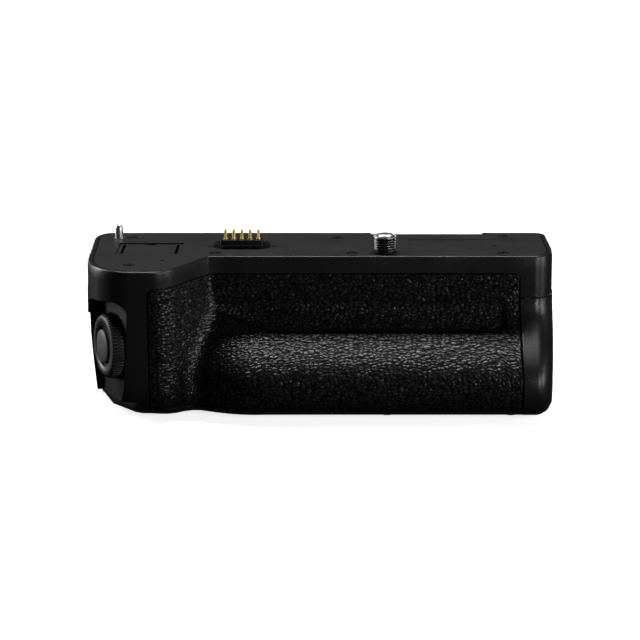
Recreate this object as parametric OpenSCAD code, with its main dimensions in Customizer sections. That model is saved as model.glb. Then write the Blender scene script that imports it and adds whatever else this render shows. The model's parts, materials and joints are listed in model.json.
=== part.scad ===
// Vertical battery grip that screws under a camera body.
// The grip is drawn standing on its rest pads: heights are measured up from the resting plane,
// X runs along the camera to the viewer's right, and -Y is the front, where the lens points.
// X and Y start at the axis of the camera screw. Every node is then hung from the camera seat,
// so the origin of the finished part is the camera screw's axis on the seat.

/* [Body] */
// Left end of the body, measured from the camera screw
body_left = 83.9; // [83.9:0.1:88]
// Right end of the body, measured from the camera screw
body_right = 48.2; // [47.8:0.1:50]
// Height of the camera seat above the resting plane
seat_h = 44; // [44:0.1:46]
// Front wall of the slim middle, ahead of the camera screw
band_front = 5.3; // [5.2:0.1:7]
// Back wall, behind the camera screw
back = 31.7; // [31.6:0.1:33]
// Wall of the mouldings
wall = 2; // [1.7:0.1:2.2]
// Radius that softens the rim round the camera seat
rim_r = 0.6; // [0.3:0.1:0.8]
// Thickness of the top plate
plate_t = 1.6; // [1.4:0.1:1.8]
// Height of the rest pads
pad_h = 0.5; // [0.4:0.1:0.8]

/* [Hand grip] */
// Front of the finger column at the seat
column_front_top = 27.9; // [27:0.1:30]
// Front of the finger column at the base
column_front_low = 22.8; // [22.5:0.1:25]
// How far the palm swell stands ahead of the slim middle
palm_depth = 18.1; // [17.5:0.1:20]
// Height where the palm swell begins
palm_top = 31; // [30.8:0.1:33]
// Height where the palm swell is full
palm_full = 10.5; // [10:0.1:12]
// Height of the crease under the finger recess
crease_h = 23.6; // [23.5:0.1:25]
// Depth of the finger recess at the crease
recess_depth = 1.5; // [0.8:0.1:1.6]
// Right end of the finger recess, measured from the camera screw
recess_right = 34.7; // [31:0.1:36]
// Thickness of the front covering
cover_t = 1; // [0.8:0.1:1.1]
// Thickness of the thumb rest at its crown
thumb_t = 2.2; // [1.8:0.1:2.6]

/* [Command dial and shutter button] */
// Angle by which the deck turns forward from the left end
deck_angle = 24; // [23.5:0.5:25]
// Diameter of the command dial
dial_d = 18.6; // [17:0.1:19]
// Height of the command dial above the deck
dial_h = 3.5; // [3.2:0.1:4]
// Ribs round the command dial
dial_ribs = 54; // [40:2:60]
// Diameter of the shutter button
shutter_d = 9.6; // [9:0.1:9.8]
// Travel of the shutter button
shutter_travel = 1.2; // [0.8:0.1:1.2]

/* [Function buttons] */
// Diameter of a function button
key_d = 5; // [4.4:0.1:5.4]
// Spacing of the function buttons
key_pitch = 8.6; // [8.2:0.1:8.8]
// Travel of a function button
key_travel = 0.4; // [0.2:0.1:0.5]
// Travel of the control lock slide
lock_travel = 4; // [3:0.1:4.2]

/* [Camera screw and lock wheel] */
// Major diameter of the camera screw thread
screw_d = 6.35; // [6.2:0.05:6.5]
// Length of the camera screw above the seat
screw_len = 5.6; // [4.5:0.1:6]
// Diameter of the lock wheel
wheel_d = 19.2; // [18.8:0.1:19.4]
// Ribs round the lock wheel
wheel_ribs = 40; // [30:1:48]

/* [Connector] */
// Spacing of the spring contacts
contact_pitch = 2.36; // [2.2:0.02:2.4]
// Height of the contact tips above the seat
contact_top = 5; // [4.4:0.1:5.4]
// Travel of a spring contact
contact_travel = 1; // [0.5:0.1:1]
// Diameter of the alignment pin
pin_d = 2.4; // [2:0.1:2.8]
// Height of the alignment pin above the seat
pin_h = 4; // [3.5:0.1:5]

/* [Rear controls] */
// Diameter of the rear dial
rear_dial_d = 19.2; // [18.6:0.1:19.4]
// Ribs round the rear dial
rear_ribs = 44; // [30:1:50]
// Diameter of the focus button
focus_d = 7.2; // [6.4:0.1:7.6]
// Diameter of the joystick cap
stick_d = 7.8; // [7:0.1:8]

/* [Battery] */
// Length of the battery pack
pack_l = 55; // [52:0.5:55.5]
// Width of the battery pack
pack_w = 38; // [36:0.1:38.1]
// Thickness of the battery pack
pack_t = 20; // [18.5:0.1:20]
// Wall of the battery door
door_t = 2; // [1.6:0.1:2.2]
// Diameter of the door hinge pin
hinge_pin_d = 1.6; // [1.4:0.05:1.7]
// Travel of the door latch
latch_travel = 2; // [1.6:0.1:2]

/* [Tripod socket] */
// Minor diameter of the tripod thread
tripod_d = 5.2; // [5:0.05:5.4]
// Depth of the tripod thread
tripod_depth = 6; // [5:0.1:6.5]
// Tripod socket, measured to the left of the camera screw
tripod_left = 33; // [32:0.1:36]

/* [Fits] */
// Radial running clearance of shafts in their bores
run = 0.05; // [0.03:0.01:0.08]
// Gap round buttons, slides and dials
gap = 0.25; // [0.2:0.01:0.3]
// Gap of glued and seated pieces
seat_gap = 0.08; // [0.05:0.01:0.1]

/* [Hidden] */
$fn = 40;

// Heights and seams
base = pad_h;
plate_z = seat_h - plate_t;
split_y = 12;
door_x = body_right - 10;
door_z = seat_h - 12;
cap_z = seat_h - 12.5;
seam = 0.15;
inner_back = back - wall;
cav_front = -band_front + wall + 0.7;
left = -body_left;

// Small curve functions
function lim(t) = min(1, max(0, t));
function ease(t) = lim(t) * lim(t) * (3 - 2 * lim(t));
function mix(a, b, t) = a + (b - a) * t;
function soft_min(a, b, k) =
    let (h = lim(0.5 + 0.5 * (b - a) / k)) mix(b, a, h) - k * h * (1 - h);
function soft_ramp(d, k) = d <= -k ? 0 : d >= k ? d : (d + k) * (d + k) / (4 * k);
function edge_in(h, r) = h >= r ? 0 : r - sqrt(max(0, r * r - (r - h) * (r - h)));
function round_rect(w, h, r, n = 6) = [
    for (q = [0:3])
        for (i = [0:n])
            let (a = q * 90 + i * 90 / n,
                 sx = (q == 0 || q == 3) ? 1 : -1,
                 sy = q < 2 ? 1 : -1)
                [sx * (w / 2 - r) + r * cos(a), sy * (h / 2 - r) + r * sin(a)]
];

// Front of the hand grip: a finger column at the left and a palm swell across the foot,
// blended together, with a finger recess pressed in above a sharp crease
flank_x = -60.9;
recess_top = seat_h - 10;
recess_corner = 4;
lip = 0.5;
function column_y(x, z) =
    let (t = lim((z - base) / (seat_h - base)))
    -mix(column_front_low, column_front_top, t)
    + mix(1.2, 2.08, t) * soft_ramp(x - flank_x, 3);
function palm_y(x, z) =
    -band_front - palm_depth * ease((x + 75) / 40) * ease((palm_top - z) / (palm_top - palm_full));
function crease(x) =
    crease_h + 0.0125 * pow(max(0, -26.5 - max(x, -50)), 2)
    + edge_in(max(0, recess_right - x), recess_corner);
function recess_in(x, z) =
    z < crease(x) ? 0 :
    recess_depth * ease((x + 50) / 14) * ease((recess_right - x) / 1.4)
    * ease((recess_top - z) / (recess_top - crease(x)));
function front_y(x, z) =
    soft_min(column_y(x, z), palm_y(x, z), mix(6, 1, ease((z - 20) / 20))) + recess_in(x, z);

// How far the rounded edges draw each side in at height z
function rim_in(z) = edge_in(seat_h - z, rim_r);
function front_edge(x) =
    x < -53 ? mix(10.4, 6.6, ease((x + 68) / 15)) : mix(6.6, 9, ease((x + 53) / 22));
function front_in(x, z) = edge_in(z - base, front_edge(x)) + rim_in(z);
function left_in(z) =
    0.5 * ease((cap_z - z) / 5) + 2.2 * pow(max(0, 1 - z / 24), 1.3)
    + edge_in(z - base, 3) + rim_in(z);
function right_in(z) = 0.6 * ease((26 - z) / 16) + edge_in(z - base, 3.2) + rim_in(z);
function back_in(z) = edge_in(z - base, 3.5) + rim_in(z);

// Stations round the body: corner arcs by angle, the front by its X position
fl_x = left + 14.5;
fl_y = -6;
bl_y = back - 9;
left_flare = 0.8;
fr_x = door_x + 3.9;
front_xs = concat(
    [-66],
    [for (i = [1:14]) -66 + i * 32 / 14],
    [for (i = [1:4]) mix(-34, recess_right - recess_corner, i / 4)],
    [for (d = [-2.9, -2, -1.4, -1.05, -0.7, -0.35, 0]) recess_right + d],
    [recess_right + 0.7]
);
stations = concat(
    [for (i = [0:7]) [0, i * 90 / 7]],
    [for (i = [0:14]) [1, i * 90 / 14]],
    [for (x = front_xs) [2, x]],
    [for (i = [0:12]) [3, i * 90 / 12]],
    [for (i = [0:5]) [4, i * 90 / 5]]
);
function station_x(s) = s[0] < 2 ? fl_x : s[0] == 2 ? s[1] : fr_x;
function fr_reach(z) = 12.3 + 0.42 * (-band_front - front_y(fr_x, z));
function body_point(s, z, ix, iy) =
    let (a = s[1])
    s[0] == 0 ?
        let (ax = max(0.5, 5 - left_in(z) - ix), ay = back - bl_y - back_in(z) - iy)
        [left - left_flare + left_in(z) + ix + ax - ax * sin(a), bl_y + ay * cos(a)] :
    s[0] == 1 ?
        let (ax = 14.5 - left_in(z) - ix, ay = fl_y - front_y(fl_x, z) - front_in(fl_x, z) - iy)
        [fl_x - ax * cos(a), fl_y - ay * sin(a)] :
    s[0] == 2 ?
        [a, front_y(a, z) + front_in(a, z) + iy] :
    s[0] == 3 ?
        let (ax = body_right - fr_x - right_in(z) - ix, ay = fr_reach(z) - front_in(fr_x, z) - iy)
        [fr_x + ax * sin(a), front_y(fr_x, z) + fr_reach(z) - ay * cos(a)] :
        let (ax = max(0.4, 3.2 - right_in(z) - ix), ay = max(0.4, 3.2 - back_in(z) - iy))
        [body_right - right_in(z) - ix - ax + ax * cos(a), back - back_in(z) - iy - ay + ay * sin(a)];

// Levels from the base up to the crease, from the crease up to the rim, then over the rim
low_rows = [0, 0.011, 0.044, 0.1, 0.18, 0.27, 0.36, 0.44, 0.52, 0.6, 0.68, 0.76, 0.84, 0.92, 1];
high_rows = [0, 0.12, 0.26, 0.42, 0.6, 0.8, 1];
rim_rows = [0.45, 0.12, 0];
function levels(x) = concat(
    [for (f = low_rows) mix(base, crease(x) - lip, f)],
    [for (f = high_rows) mix(crease(x), seat_h - rim_r, f)],
    [for (f = rim_rows) seat_h - rim_r * f]
);

// The whole outer body as one loft, drawn in by "inset" all round
module body_loft(inset = 0) {
    n = len(stations);
    m = len(low_rows) + len(high_rows) + len(rim_rows);
    pts = [
        for (j = [0:m - 1])
            for (s = stations)
                let (z = levels(station_x(s))[j], p = body_point(s, z, inset, inset))
                    [p[0], p[1], z]
    ];
    sides = [
        for (j = [0:m - 2])
            for (k = [0:n - 1])
                let (a = j * n + k, b = j * n + (k + 1) % n, c = b + n, d = a + n)
                    each [[a, d, c], [a, c, b]]
    ];
    foot = [for (k = [0:n - 1]) k];
    head = [for (k = [n - 1:-1:0]) (m - 1) * n + k];
    polyhedron(points = pts, faces = concat([foot, head], sides), convexity = 8);
}

// A sheet that follows the front, from "out" ahead of it to "deep" behind it
cover_left = -66;
cover_low = base + 2.4;
cover_high = seat_h - 5;
cover_corner = 2;
function sheet_top(x, x0, x1, top) =
    let (d = min(x - x0, x1 - x))
    top - (d >= cover_corner ? 0 : edge_in(max(d, 0), cover_corner));
function sheet_rows(x, low, top) = concat(
    [for (f = [0, 0.06, 0.14, 0.24, 0.34, 0.44, 0.54, 0.64, 0.74, 0.83, 0.92, 1])
        mix(low, crease(x) - lip, f)],
    [for (f = [0, 0.14, 0.3, 0.48, 0.68, 0.86, 1]) mix(crease(x), top, f)]
);
module front_sheet(x0, x1, low, top, out, deep) {
    inner = [for (x = front_xs) if (x > x0 + 2.1 && x < x1 - 2.1) x];
    corner = [0, 0.12, 0.5, 1.1, 2];
    xs = concat([for (c = corner) x0 + c], inner, [for (i = [4:-1:0]) x1 - corner[i]]);
    n = len(xs);
    m = 19;
    q = n * m;
    front = [
        for (j = [0:m - 1])
            for (x = xs)
                let (z = sheet_rows(x, low, sheet_top(x, x0, x1, top))[j])
                    [x, front_y(x, z) + front_in(x, z), z]
    ];
    pts = concat([for (p = front) p - [0, out, 0]], [for (p = front) p + [0, deep, 0]]);
    skin = [
        for (j = [0:m - 2])
            for (k = [0:n - 2])
                let (a = j * n + k, b = a + 1, c = b + n, d = a + n)
                    each [[a, d, c], [a, c, b], [q + a, q + c, q + d], [q + a, q + b, q + c]]
    ];
    ends = [
        for (k = [0:n - 2])
            let (a = k, t = (m - 1) * n + k)
                each [[a, a + 1, q + a + 1], [a, q + a + 1, q + a],
                      [t, q + t + 1, t + 1], [t, q + t, q + t + 1]]
    ];
    flanks = [
        for (j = [0:m - 2])
            let (a = j * n, d = a + n, b = a + n - 1, c = b + n)
                each [[a, q + a, q + d], [a, q + d, d], [b, c, q + c], [b, q + c, q + b]]
    ];
    polyhedron(points = pts, faces = concat(skin, ends, flanks), convexity = 8);
}

// Helpers
module slab(pts, z0, z1) {
    translate([0, 0, z0])
        linear_extrude(z1 - z0)
            polygon(pts);
}
module block(a, b) {
    translate(a)
        cube(b - a);
}
module soft_block(a, b, r) {
    hull()
        for (x = [a[0] + r, b[0] - r])
            for (y = [a[1] + r, b[1] - r])
                translate([x, y, a[2]])
                    cylinder(r = r, h = b[2] - a[2], $fn = 20);
}
module soft_block_x(a, b, r) {
    hull()
        for (y = [a[1] + r, b[1] - r])
            for (z = [a[2] + r, b[2] - r])
                translate([a[0], y, z])
                    rotate([0, 90, 0])
                        cylinder(r = r, h = b[0] - a[0], $fn = 24);
}
module soft_block_y(a, b, r) {
    hull()
        for (x = [a[0] + r, b[0] - r])
            for (z = [a[2] + r, b[2] - r])
                translate([x, b[1], z])
                    rotate([90, 0, 0])
                        cylinder(r = r, h = b[1] - a[1], $fn = 24);
}
module ribbed(d, ribs, depth, h) {
    r = d / 2;
    step = 360 / ribs;
    linear_extrude(h)
        polygon([
            for (i = [0:ribs - 1])
                for (p = [[-0.32, 1], [0.32, 1], [0.42, 0], [0.58, 0]])
                    let (a = (i + p[0]) * step, q = r - depth * (1 - p[1]))
                        [q * cos(a), q * sin(a)]
        ]);
}

// Shutter deck: a flat turned forward, cut out of the front left corner below a cap
deck_front = [-71.6, -26.2];
deck_t = [-sin(deck_angle), cos(deck_angle)];
deck_w = 21.8;
dial_back = 10.3;
dial_at = deck_front + dial_back * deck_t;
dial_z = cap_z - 10.5;
deck_end = deck_front + deck_w * deck_t;
module on_deck() {
    translate([dial_at[0], dial_at[1], dial_z])
        rotate([90, 0, deck_angle - 90])
            children();
}
// Button panel: a flat turned further left that leans in towards the foot
panel_angle = 16;
panel_lean = 4.5;
panel_t = [-sin(panel_angle), cos(panel_angle)];
panel_at = deck_end + 6.6 * panel_t;
panel_z = cap_z - 13.1;
module on_panel() {
    translate([panel_at[0], panel_at[1], panel_z])
        rotate([90, 0, panel_angle - 90])
            rotate([panel_lean, 0, 0])
                children();
}
key_x = 1.2;
lock_y = 8.2;
lock_x = left - left_flare * (lock_y - fl_y) / (bl_y - fl_y);
lock_z = seat_h - 14.8;
lock_t = 1;
key_flange = key_d / 2 + gap + 0.3;
key_room = key_pitch + key_flange + gap;
panel_low = -key_room - 0.15;
panel_high = key_room + 0.75;
// The cap's lower edge rises from the panel to the front of the deck
deck_top = seat_h - 9.1;
deck_back_top = seat_h - 11.8;
deck_corner = 3;
// Below the panel the end steps in and rounds under
foot_top = 5.4;
foot_in = 0.9;
foot_r = 2.6;
module deck_cut() {
    front = deck_top - dial_z;
    rear = deck_back_top - dial_z;
    corner = [dial_back, front] - [deck_corner, deck_corner];
    foot = (foot_top - panel_z) / cos(panel_lean);
    sole = (base - panel_z) / cos(panel_lean);
    on_deck()
        linear_extrude(20)
            polygon(concat(
                [[dial_back - deck_w, rear], [dial_back - deck_w, -30], [dial_back, -30]],
                [for (a = [0:15:90]) corner + deck_corner * [cos(a), sin(a)]],
                [[dial_back - 0.6 * deck_w, mix(rear, front, 0.75)]]
            ));
    on_panel() {
        translate([-40, -30, 0])
            cube([46.6, 30 + (deck_back_top - panel_z) / cos(panel_lean), 20]);
        translate([-40, 0, 0])
            rotate([90, 0, 90])
                linear_extrude(60)
                    polygon(concat(
                        [[foot + foot_in, foot_in], [foot - foot_in, -foot_in]],
                        [for (a = [0:15:90]) [sole + foot_r * (1 - sin(a)), -foot_in - foot_r * (1 - cos(a))]],
                        [[sole - 2, -foot_in - foot_r], [sole - 2, foot_in]]
                    ));
    }
}
// Bevel under the deck, where the foot runs back to the left end
heel_at = [-69.4, -12.4];
heel_angle = 36.3;
heel_slope = 20;
heel_r = 2.4;
heel_end = 5.4;
heel_h = 5.2;
heel_reach = 30;
module heel_cut() {
    turn = [heel_end - heel_r, (heel_end - heel_r) * tan(heel_slope) + heel_r / cos(heel_slope)];
    translate([heel_at[0], heel_at[1], base])
        rotate([90, 0, 180 + heel_angle])
            translate([0, 0, -heel_reach])
                linear_extrude(2 * heel_reach)
                    polygon(concat(
                        [[0, 0]],
                        [for (i = [0:5]) let (a = (heel_slope - 90) * (1 - i / 5)) turn + heel_r * [cos(a), sin(a)]],
                        [[heel_end, heel_h], [heel_reach, heel_h], [heel_reach, -5], [0, -5]]
                    ));
}

// Camera seat features
bush_r = screw_d / 2 + 0.85;
connector_at = [-40.9, 9.8];
pin_at = [-77.4, 23.7];
pin_foot = pin_d / 2 + 0.4;
holder_a = [-76.5, -1.5];
holder_b = [-58, 15];
holder_drop = 0.4;
label_a = [7.4, 4.2];
label_b = [38, 20.3];
plate_screws = [
    [-73.6, 23.4], [-71.3, -17.6], [-48.2, -0.3], [-9.2, -0.3],
    [-13, 23.1], [35.4, 25], [33.5, -0.3]
];
small_holes = [[-62.5, -11.3], [31.8, 11.3]];
plate_groove = 0.15;
boss_r = 2.1;
screw_r = 0.8;
head_r = 1.6;
notch_a = -2.1;
notch_b = 28.4;
notch_z = seat_h - 10.5;
notch_y = back - 1.8;

// Lock wheel, idler and camera screw share one train
gear_m = 0.5;
wheel_t = 18;
idler_t = 38;
screw_t = 14;
wheel_at = [13.6, back - 9.2];
wheel_gear_r = gear_m * wheel_t / 2;
idler_r = gear_m * idler_t / 2;
screw_gear_r = gear_m * screw_t / 2;
train_d = norm(wheel_at);
train_b = screw_gear_r + idler_r;
train_a = wheel_gear_r + idler_r;
train_x = (train_b * train_b - train_a * train_a + train_d * train_d) / (2 * train_d);
train_y = sqrt(max(0, train_b * train_b - train_x * train_x));
train_u = wheel_at / train_d;
idler_at = train_x * train_u + train_y * [train_u[1], -train_u[0]];
wheel_dir = atan2(wheel_at[1] - idler_at[1], wheel_at[0] - idler_at[0]);
screw_dir = atan2(-idler_at[1], -idler_at[0]);
wheel_phase = wheel_dir + 180 - (0.5 - wheel_dir * idler_t / 360) * 360 / wheel_t;
screw_phase = screw_dir + 180 - (0.5 - screw_dir * idler_t / 360) * 360 / screw_t;
gear_h = 2.5;
gear_z = plate_z - 0.4 - gear_h;
chassis_t = 1.6;
chassis_z = notch_z - 2.2 - chassis_t;
axle_r = 1.5;
disc_h = 4.8;
disc_z = gear_z - 0.4 - disc_h;
shank_r = screw_d / 2 - 0.175;
spindle_r = 2;

// Battery chamber
cell_gap = 0.2;
cell_wall = 0.7;
cell_b = inner_back - cell_wall + 0.4;
cell_f = cell_b - pack_w - 2 * cell_gap;
cell_low = base + 1.9;
cell_high = cell_low + pack_t + 2 * cell_gap;
cell_end = door_x - pack_l - 1.6;
cell_r = 2.4;

// Door hinge at the back of the right end
hinge_x = door_x + 1.6;
hinge_y = back - 0.7;
hinge_r = 1.4;
hinge_low = base + 5;
hinge_high = door_z - 4;
ear = 5;
leaf_t = 0.9;

// Rear controls
rear_dial_x = [left + 5, left + 11];
rear_dial_y = back - 7.8;
rear_dial_z = 22;
control_x = -62.5;
focus_z = seat_h - 13;
stick_z = 16;
stick_y = inner_back - 2.3;
board_y = stick_y - 2.1;

// Thumb rest on the back
thumb_at = [-42, seat_h / 2];
thumb_size = [24, seat_h - 12];
thumb_r = 4;
thumb_crown = 62;
thumb_seat = back - 0.8;

// Tripod socket, rest pads and bottom screws
tripod_at = [-tripod_left, 5];
pads = [[0.5, -12.4], [35.5, -12.4], [-60, -10], [-66, 24], [0.5, 25], [34.5, 25]];
foot_screws = [[-52, -7], [-50, 24]];

// Rounded hollow of the battery chamber in the mouldings
module chamber_hollow() {
    soft_block_x([cell_end - 1.2, cell_f - cell_wall - seat_gap, cell_low - cell_wall - seat_gap],
        [door_x + 1, cell_b + cell_wall + seat_gap, cell_high + cell_wall + seat_gap],
        cell_r + cell_wall);
}

// Room above the chamber and at the left, with the screw bosses left standing
module inner_hollow() {
    difference() {
        union() {
            soft_block([cell_end - 3, cav_front, chassis_z], [door_x - 3.4, inner_back, seat_h], 1);
            soft_block([cell_end - 3, cav_front + 2, cell_high + cell_wall + 1.2],
                [door_x - 4.6, inner_back - 2, seat_h - 1], 1);
            slab([[-63, -17.5], [-60.8, -17.5], [-51.4, cav_front], [cell_end - 2.4, cav_front],
                [cell_end - 2.4, inner_back - 0.3], [-69.6, inner_back - 0.3], [-69.6, -6]], base + wall, seat_h);
            soft_block([-80, holder_a[1] - 1.4, cap_z + 2.5], [-52, split_y + 6, seat_h], 1);
        }
        for (p = plate_screws)
            translate([p[0], p[1], p[0] < cell_end - 3 ? 0 : cell_high + cell_wall])
                cylinder(r = boss_r, h = 50, $fn = 24);
        for (p = foot_screws)
            translate([p[0], p[1], 0])
                cylinder(r = 2.6, h = base + 7, $fn = 24);
        translate([tripod_at[0], tripod_at[1], 0])
            cylinder(r = 9.4, h = base + 4, $fn = 40);
        translate([notch_a - 3, notch_y - wall, notch_z - 2])
            cube([notch_b - notch_a + 6, 10, 40]);
    }
    translate([wheel_at[0], wheel_at[1], disc_z - gap])
        cylinder(r = wheel_d / 2 + 0.4, h = disc_h + 2 * gap, $fn = 60);
    translate([0, 0, gear_z - 0.35])
        cylinder(r = screw_gear_r + 0.8, h = 6, $fn = 40);
}

// Cuts that both mouldings share
module shared_cuts() {
    chamber_hollow();
    inner_hollow();
    block([door_x, -60, -1], [body_right + 9, back + 9, door_z]);
    translate([hinge_x, hinge_y, hinge_low - 0.3])
        cylinder(r = hinge_r + 0.3, h = hinge_high - hinge_low + 0.6, $fn = 40);
    block([door_x - 5.2 - seat_gap, back - leaf_t - seat_gap, hinge_low - seat_gap],
        [door_x + 1, back + 1, hinge_high + seat_gap]);
    translate([pin_at[0], pin_at[1], plate_z - 2 - seat_gap])
        cylinder(r = 2.1 + seat_gap, h = 3, $fn = 32);
    translate([0, 0, plate_z])
        linear_extrude(plate_t + 1)
            polygon(plate_points(seat_gap));
    for (p = plate_screws)
        translate([p[0], p[1], plate_z - 6.5])
            cylinder(r = screw_r + 0.06, h = 7, $fn = 24);
    for (p = foot_screws) {
        translate([p[0], p[1], -1])
            cylinder(r = head_r + 0.2, h = base + 2.2, $fn = 24);
        translate([p[0], p[1], 0])
            cylinder(r = screw_r + 0.06, h = base + 6, $fn = 24);
    }
    translate([tripod_at[0], tripod_at[1], -1]) {
        cylinder(r = 8 + seat_gap, h = base + 2.2, $fn = 48);
        cylinder(r = 5.4 + seat_gap, h = 20, $fn = 48);
    }
}
function plate_points(grow) = [
    for (s = stations) body_point(s, seat_h - rim_r, 1.7 - grow, 0.9 - grow)
];

module front_case() {
    color([0.05, 0.05, 0.055])
        difference() {
            body_loft();
            block([-100, split_y, -1], [100, 100, 100]);
            deck_cut();
            heel_cut();
            front_sheet(cover_left - seat_gap, door_x + 0.05, cover_low - seat_gap,
                cover_high + seat_gap, 3, cover_t + seat_gap);
            shared_cuts();
            on_deck() {
                translate([0, 0, -2])
                    cylinder(r = 8.2 + seat_gap, h = 3, $fn = 48);
                hull()
                    for (x = [-4.6, 4.6])
                        for (y = [-4.6, 4.6])
                            translate([x, y, -8.8])
                                cylinder(r = 1.4, h = 9, $fn = 16);
            }
            on_panel() {
                soft_block([-4, panel_low - seat_gap, -1.5], [6.2, panel_high + 0.1, 3], 1);
                soft_block([-2.6, -key_room, -5.6], [5, key_room, 1], 1);
            }
            soft_block_x([lock_x - 2, lock_y - 1.2, lock_z - 3.2 - lock_travel],
                [lock_x + 4, lock_y + 1.2, lock_z + 2.8], 0.9);
            soft_block_x([lock_x + 2, lock_y - 2.6, lock_z - 4.6 - lock_travel],
                [lock_x + 6, lock_y + 2.6, lock_z + 4.4], 1);
        }
}

module rear_case() {
    color([0.05, 0.05, 0.055]) {
        difference() {
            body_loft();
            block([-100, -100, -1], [100, split_y + seat_gap, 100]);
            shared_cuts();
            slab([[notch_a - 2.4, back + 1], [notch_a - 0.6, notch_y], [notch_b + 0.6, notch_y],
                [notch_b + 2.4, back + 1]], notch_z, seat_h + 1);
            soft_block_y([wheel_at[0] - 8.4, notch_y - 4, disc_z - gap],
                [wheel_at[0] + 8.4, back + 2, disc_z + disc_h + gap], 1);
            soft_block_y([rear_dial_x[0] - 0.5, inner_back - 2, rear_dial_z - 8.4],
                [rear_dial_x[1] + 0.5, back + 2, rear_dial_z + 8.4], 1);
            soft_block_y([rear_dial_x[0] - 2.4, split_y - 1, rear_dial_z - 10],
                [rear_dial_x[1] + 2.4, inner_back - 0.6, rear_dial_z + 10], 1);
            translate([control_x, back + 1, focus_z])
                rotate([90, 0, 0])
                    cylinder(r = focus_d / 2 + gap, h = wall + 2, $fn = 40);
            translate([control_x, back + 1, stick_z])
                rotate([90, 0, 0])
                    cylinder(r = 3.2, h = wall + 2, $fn = 40);
            translate([thumb_at[0], back + 3, thumb_at[1]])
                rotate([90, 0, 0])
                    slab(round_rect(thumb_size[0] + 2 * seat_gap, thumb_size[1] + 2 * seat_gap,
                        thumb_r + seat_gap), 0, back + 3 - thumb_seat);
            soft_block_x([door_x - 2, 13.6, cell_high], [door_x + 1, catch_at[0] + 2.6, catch_at[1] + 2.6], 0.8);
        }
        for (p = [[control_x + 6, seat_h - 7], [control_x - 5, 8]])
            translate([p[0], inner_back + 0.2, p[1]])
                rotate([90, 0, 0])
                    cylinder(r = 1.5, h = inner_back + 0.2 - board_y, $fn = 24);
    }
}

module front_grip_cover() {
    color([0.04, 0.04, 0.04])
        front_sheet(cover_left, door_x - 0.1, cover_low, cover_high, 0, cover_t);
}

module thumb_rest() {
    color([0.05, 0.05, 0.05])
        intersection() {
            translate([thumb_at[0], back + 4, thumb_at[1]])
                rotate([90, 0, 0])
                    slab(round_rect(thumb_size[0], thumb_size[1], thumb_r), 0,
                        back + 4 - thumb_seat - seat_gap);
            translate([thumb_at[0], thumb_seat + thumb_t - thumb_crown, -1])
                cylinder(r = thumb_crown, h = 60, $fn = 120);
        }
}

module top_plate() {
    color([0.09, 0.09, 0.095])
        difference() {
            slab(plate_points(-plate_groove), plate_z, seat_h);
            block([notch_a - 2.6, notch_y - 0.9, 0], [notch_b + 2.6, back + 1, 60]);
            translate([0, 0, 0])
                cylinder(r = bush_r + seat_gap, h = 60);
            translate([connector_at[0], connector_at[1], 0])
                slab(round_rect(12.9, 5.9, 1), 0, 60);
            seal_outline(seat_gap, seat_h - seal_seat, seat_h + 1);
            translate([pin_at[0], pin_at[1], 0])
                cylinder(r = pin_foot + seat_gap, h = 60);
            block([holder_a[0], holder_a[1], 0], [holder_b[0], holder_b[1], 60]);
            for (p = plate_screws) {
                translate([p[0], p[1], 0])
                    cylinder(r = screw_r + 0.1, h = 60);
                translate([p[0], p[1], seat_h - 1])
                    cylinder(r = head_r + 0.15, h = 2);
            }
            for (p = small_holes)
                translate([p[0], p[1], 0])
                    cylinder(r = 0.8, h = 60, $fn = 24);
            block([label_a[0], label_a[1], seat_h - 0.15], [label_b[0], label_b[1], 60]);
            for (s = [-1, 1])
                translate([connector_at[0] + s * (seal_size[0] / 2 + 1.2) - 0.85, connector_at[1] - 0.5, seat_h - 0.6])
                    cube([1.7, 1, 3]);
        }
}

module top_plate_screws() {
    color([0.06, 0.06, 0.06])
        for (p = plate_screws)
            translate([p[0], p[1], 0]) {
                translate([0, 0, seat_h - 1])
                    cylinder(r = head_r, h = 0.85);
                translate([0, 0, plate_z - 5.5])
                    cylinder(r = screw_r, h = 5.5 + plate_t - 0.9);
            }
}

module cover_holder() {
    c = (holder_a + holder_b) / 2;
    w = holder_b[0] - holder_a[0];
    d = holder_b[1] - holder_a[1];
    color([0.08, 0.08, 0.085])
        translate([c[0], c[1], 0])
            difference() {
                union() {
                    slab(round_rect(w + 2, d + 2, 0.5), plate_z - 1.4, plate_z);
                    slab(round_rect(w - 0.3, d - 0.3, 0.5), plate_z - 1.4, seat_h - holder_drop);
                }
                for (s = [-1, 1])
                    translate([s * (w / 2 - 1.5) - 0.45, -d / 2 + 1.2, 0])
                        cube([0.9, d - 2.4, 60]);
                translate([0, d / 2, seat_h - 1.6])
                    cylinder(r = 1.6, h = 5);
            }
}

module connector_block() {
    color([0.03, 0.03, 0.03])
        translate([connector_at[0], connector_at[1], 0])
            difference() {
                union() {
                    slab(round_rect(12.5, 5.5, 0.8), seat_h - 6.8, seat_h + 2.2);
                    slab(round_rect(15, 8.4, 0.8), plate_z - 1.8, plate_z);
                }
                for (i = [-2:2])
                    translate([i * contact_pitch, 0, 0])
                        cylinder(r = 0.64, h = 60);
            }
}

seal_size = [16, 9.2];
seal_corner = 2.6;
seal_seat = 0.4;
module seal_outline(grow, z0, z1) {
    w = seal_size[0] / 2 + grow;
    d = seal_size[1] / 2 + grow;
    c = seal_corner + 0.6 * grow;
    translate([connector_at[0], connector_at[1], 0])
        slab([[w, -d + c], [w, d - c], [w - c, d], [c - w, d], [-w, d - c], [-w, c - d],
            [c - w, -d], [w - c, -d]], z0, z1);
}
module connector_seal() {
    color([0.035, 0.035, 0.035])
        difference() {
            seal_outline(0, seat_h - seal_seat, seat_h + 0.9);
            translate([connector_at[0], connector_at[1], 0])
                slab(round_rect(12.7, 5.7, 0.8), 0, 60);
        }
}

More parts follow.
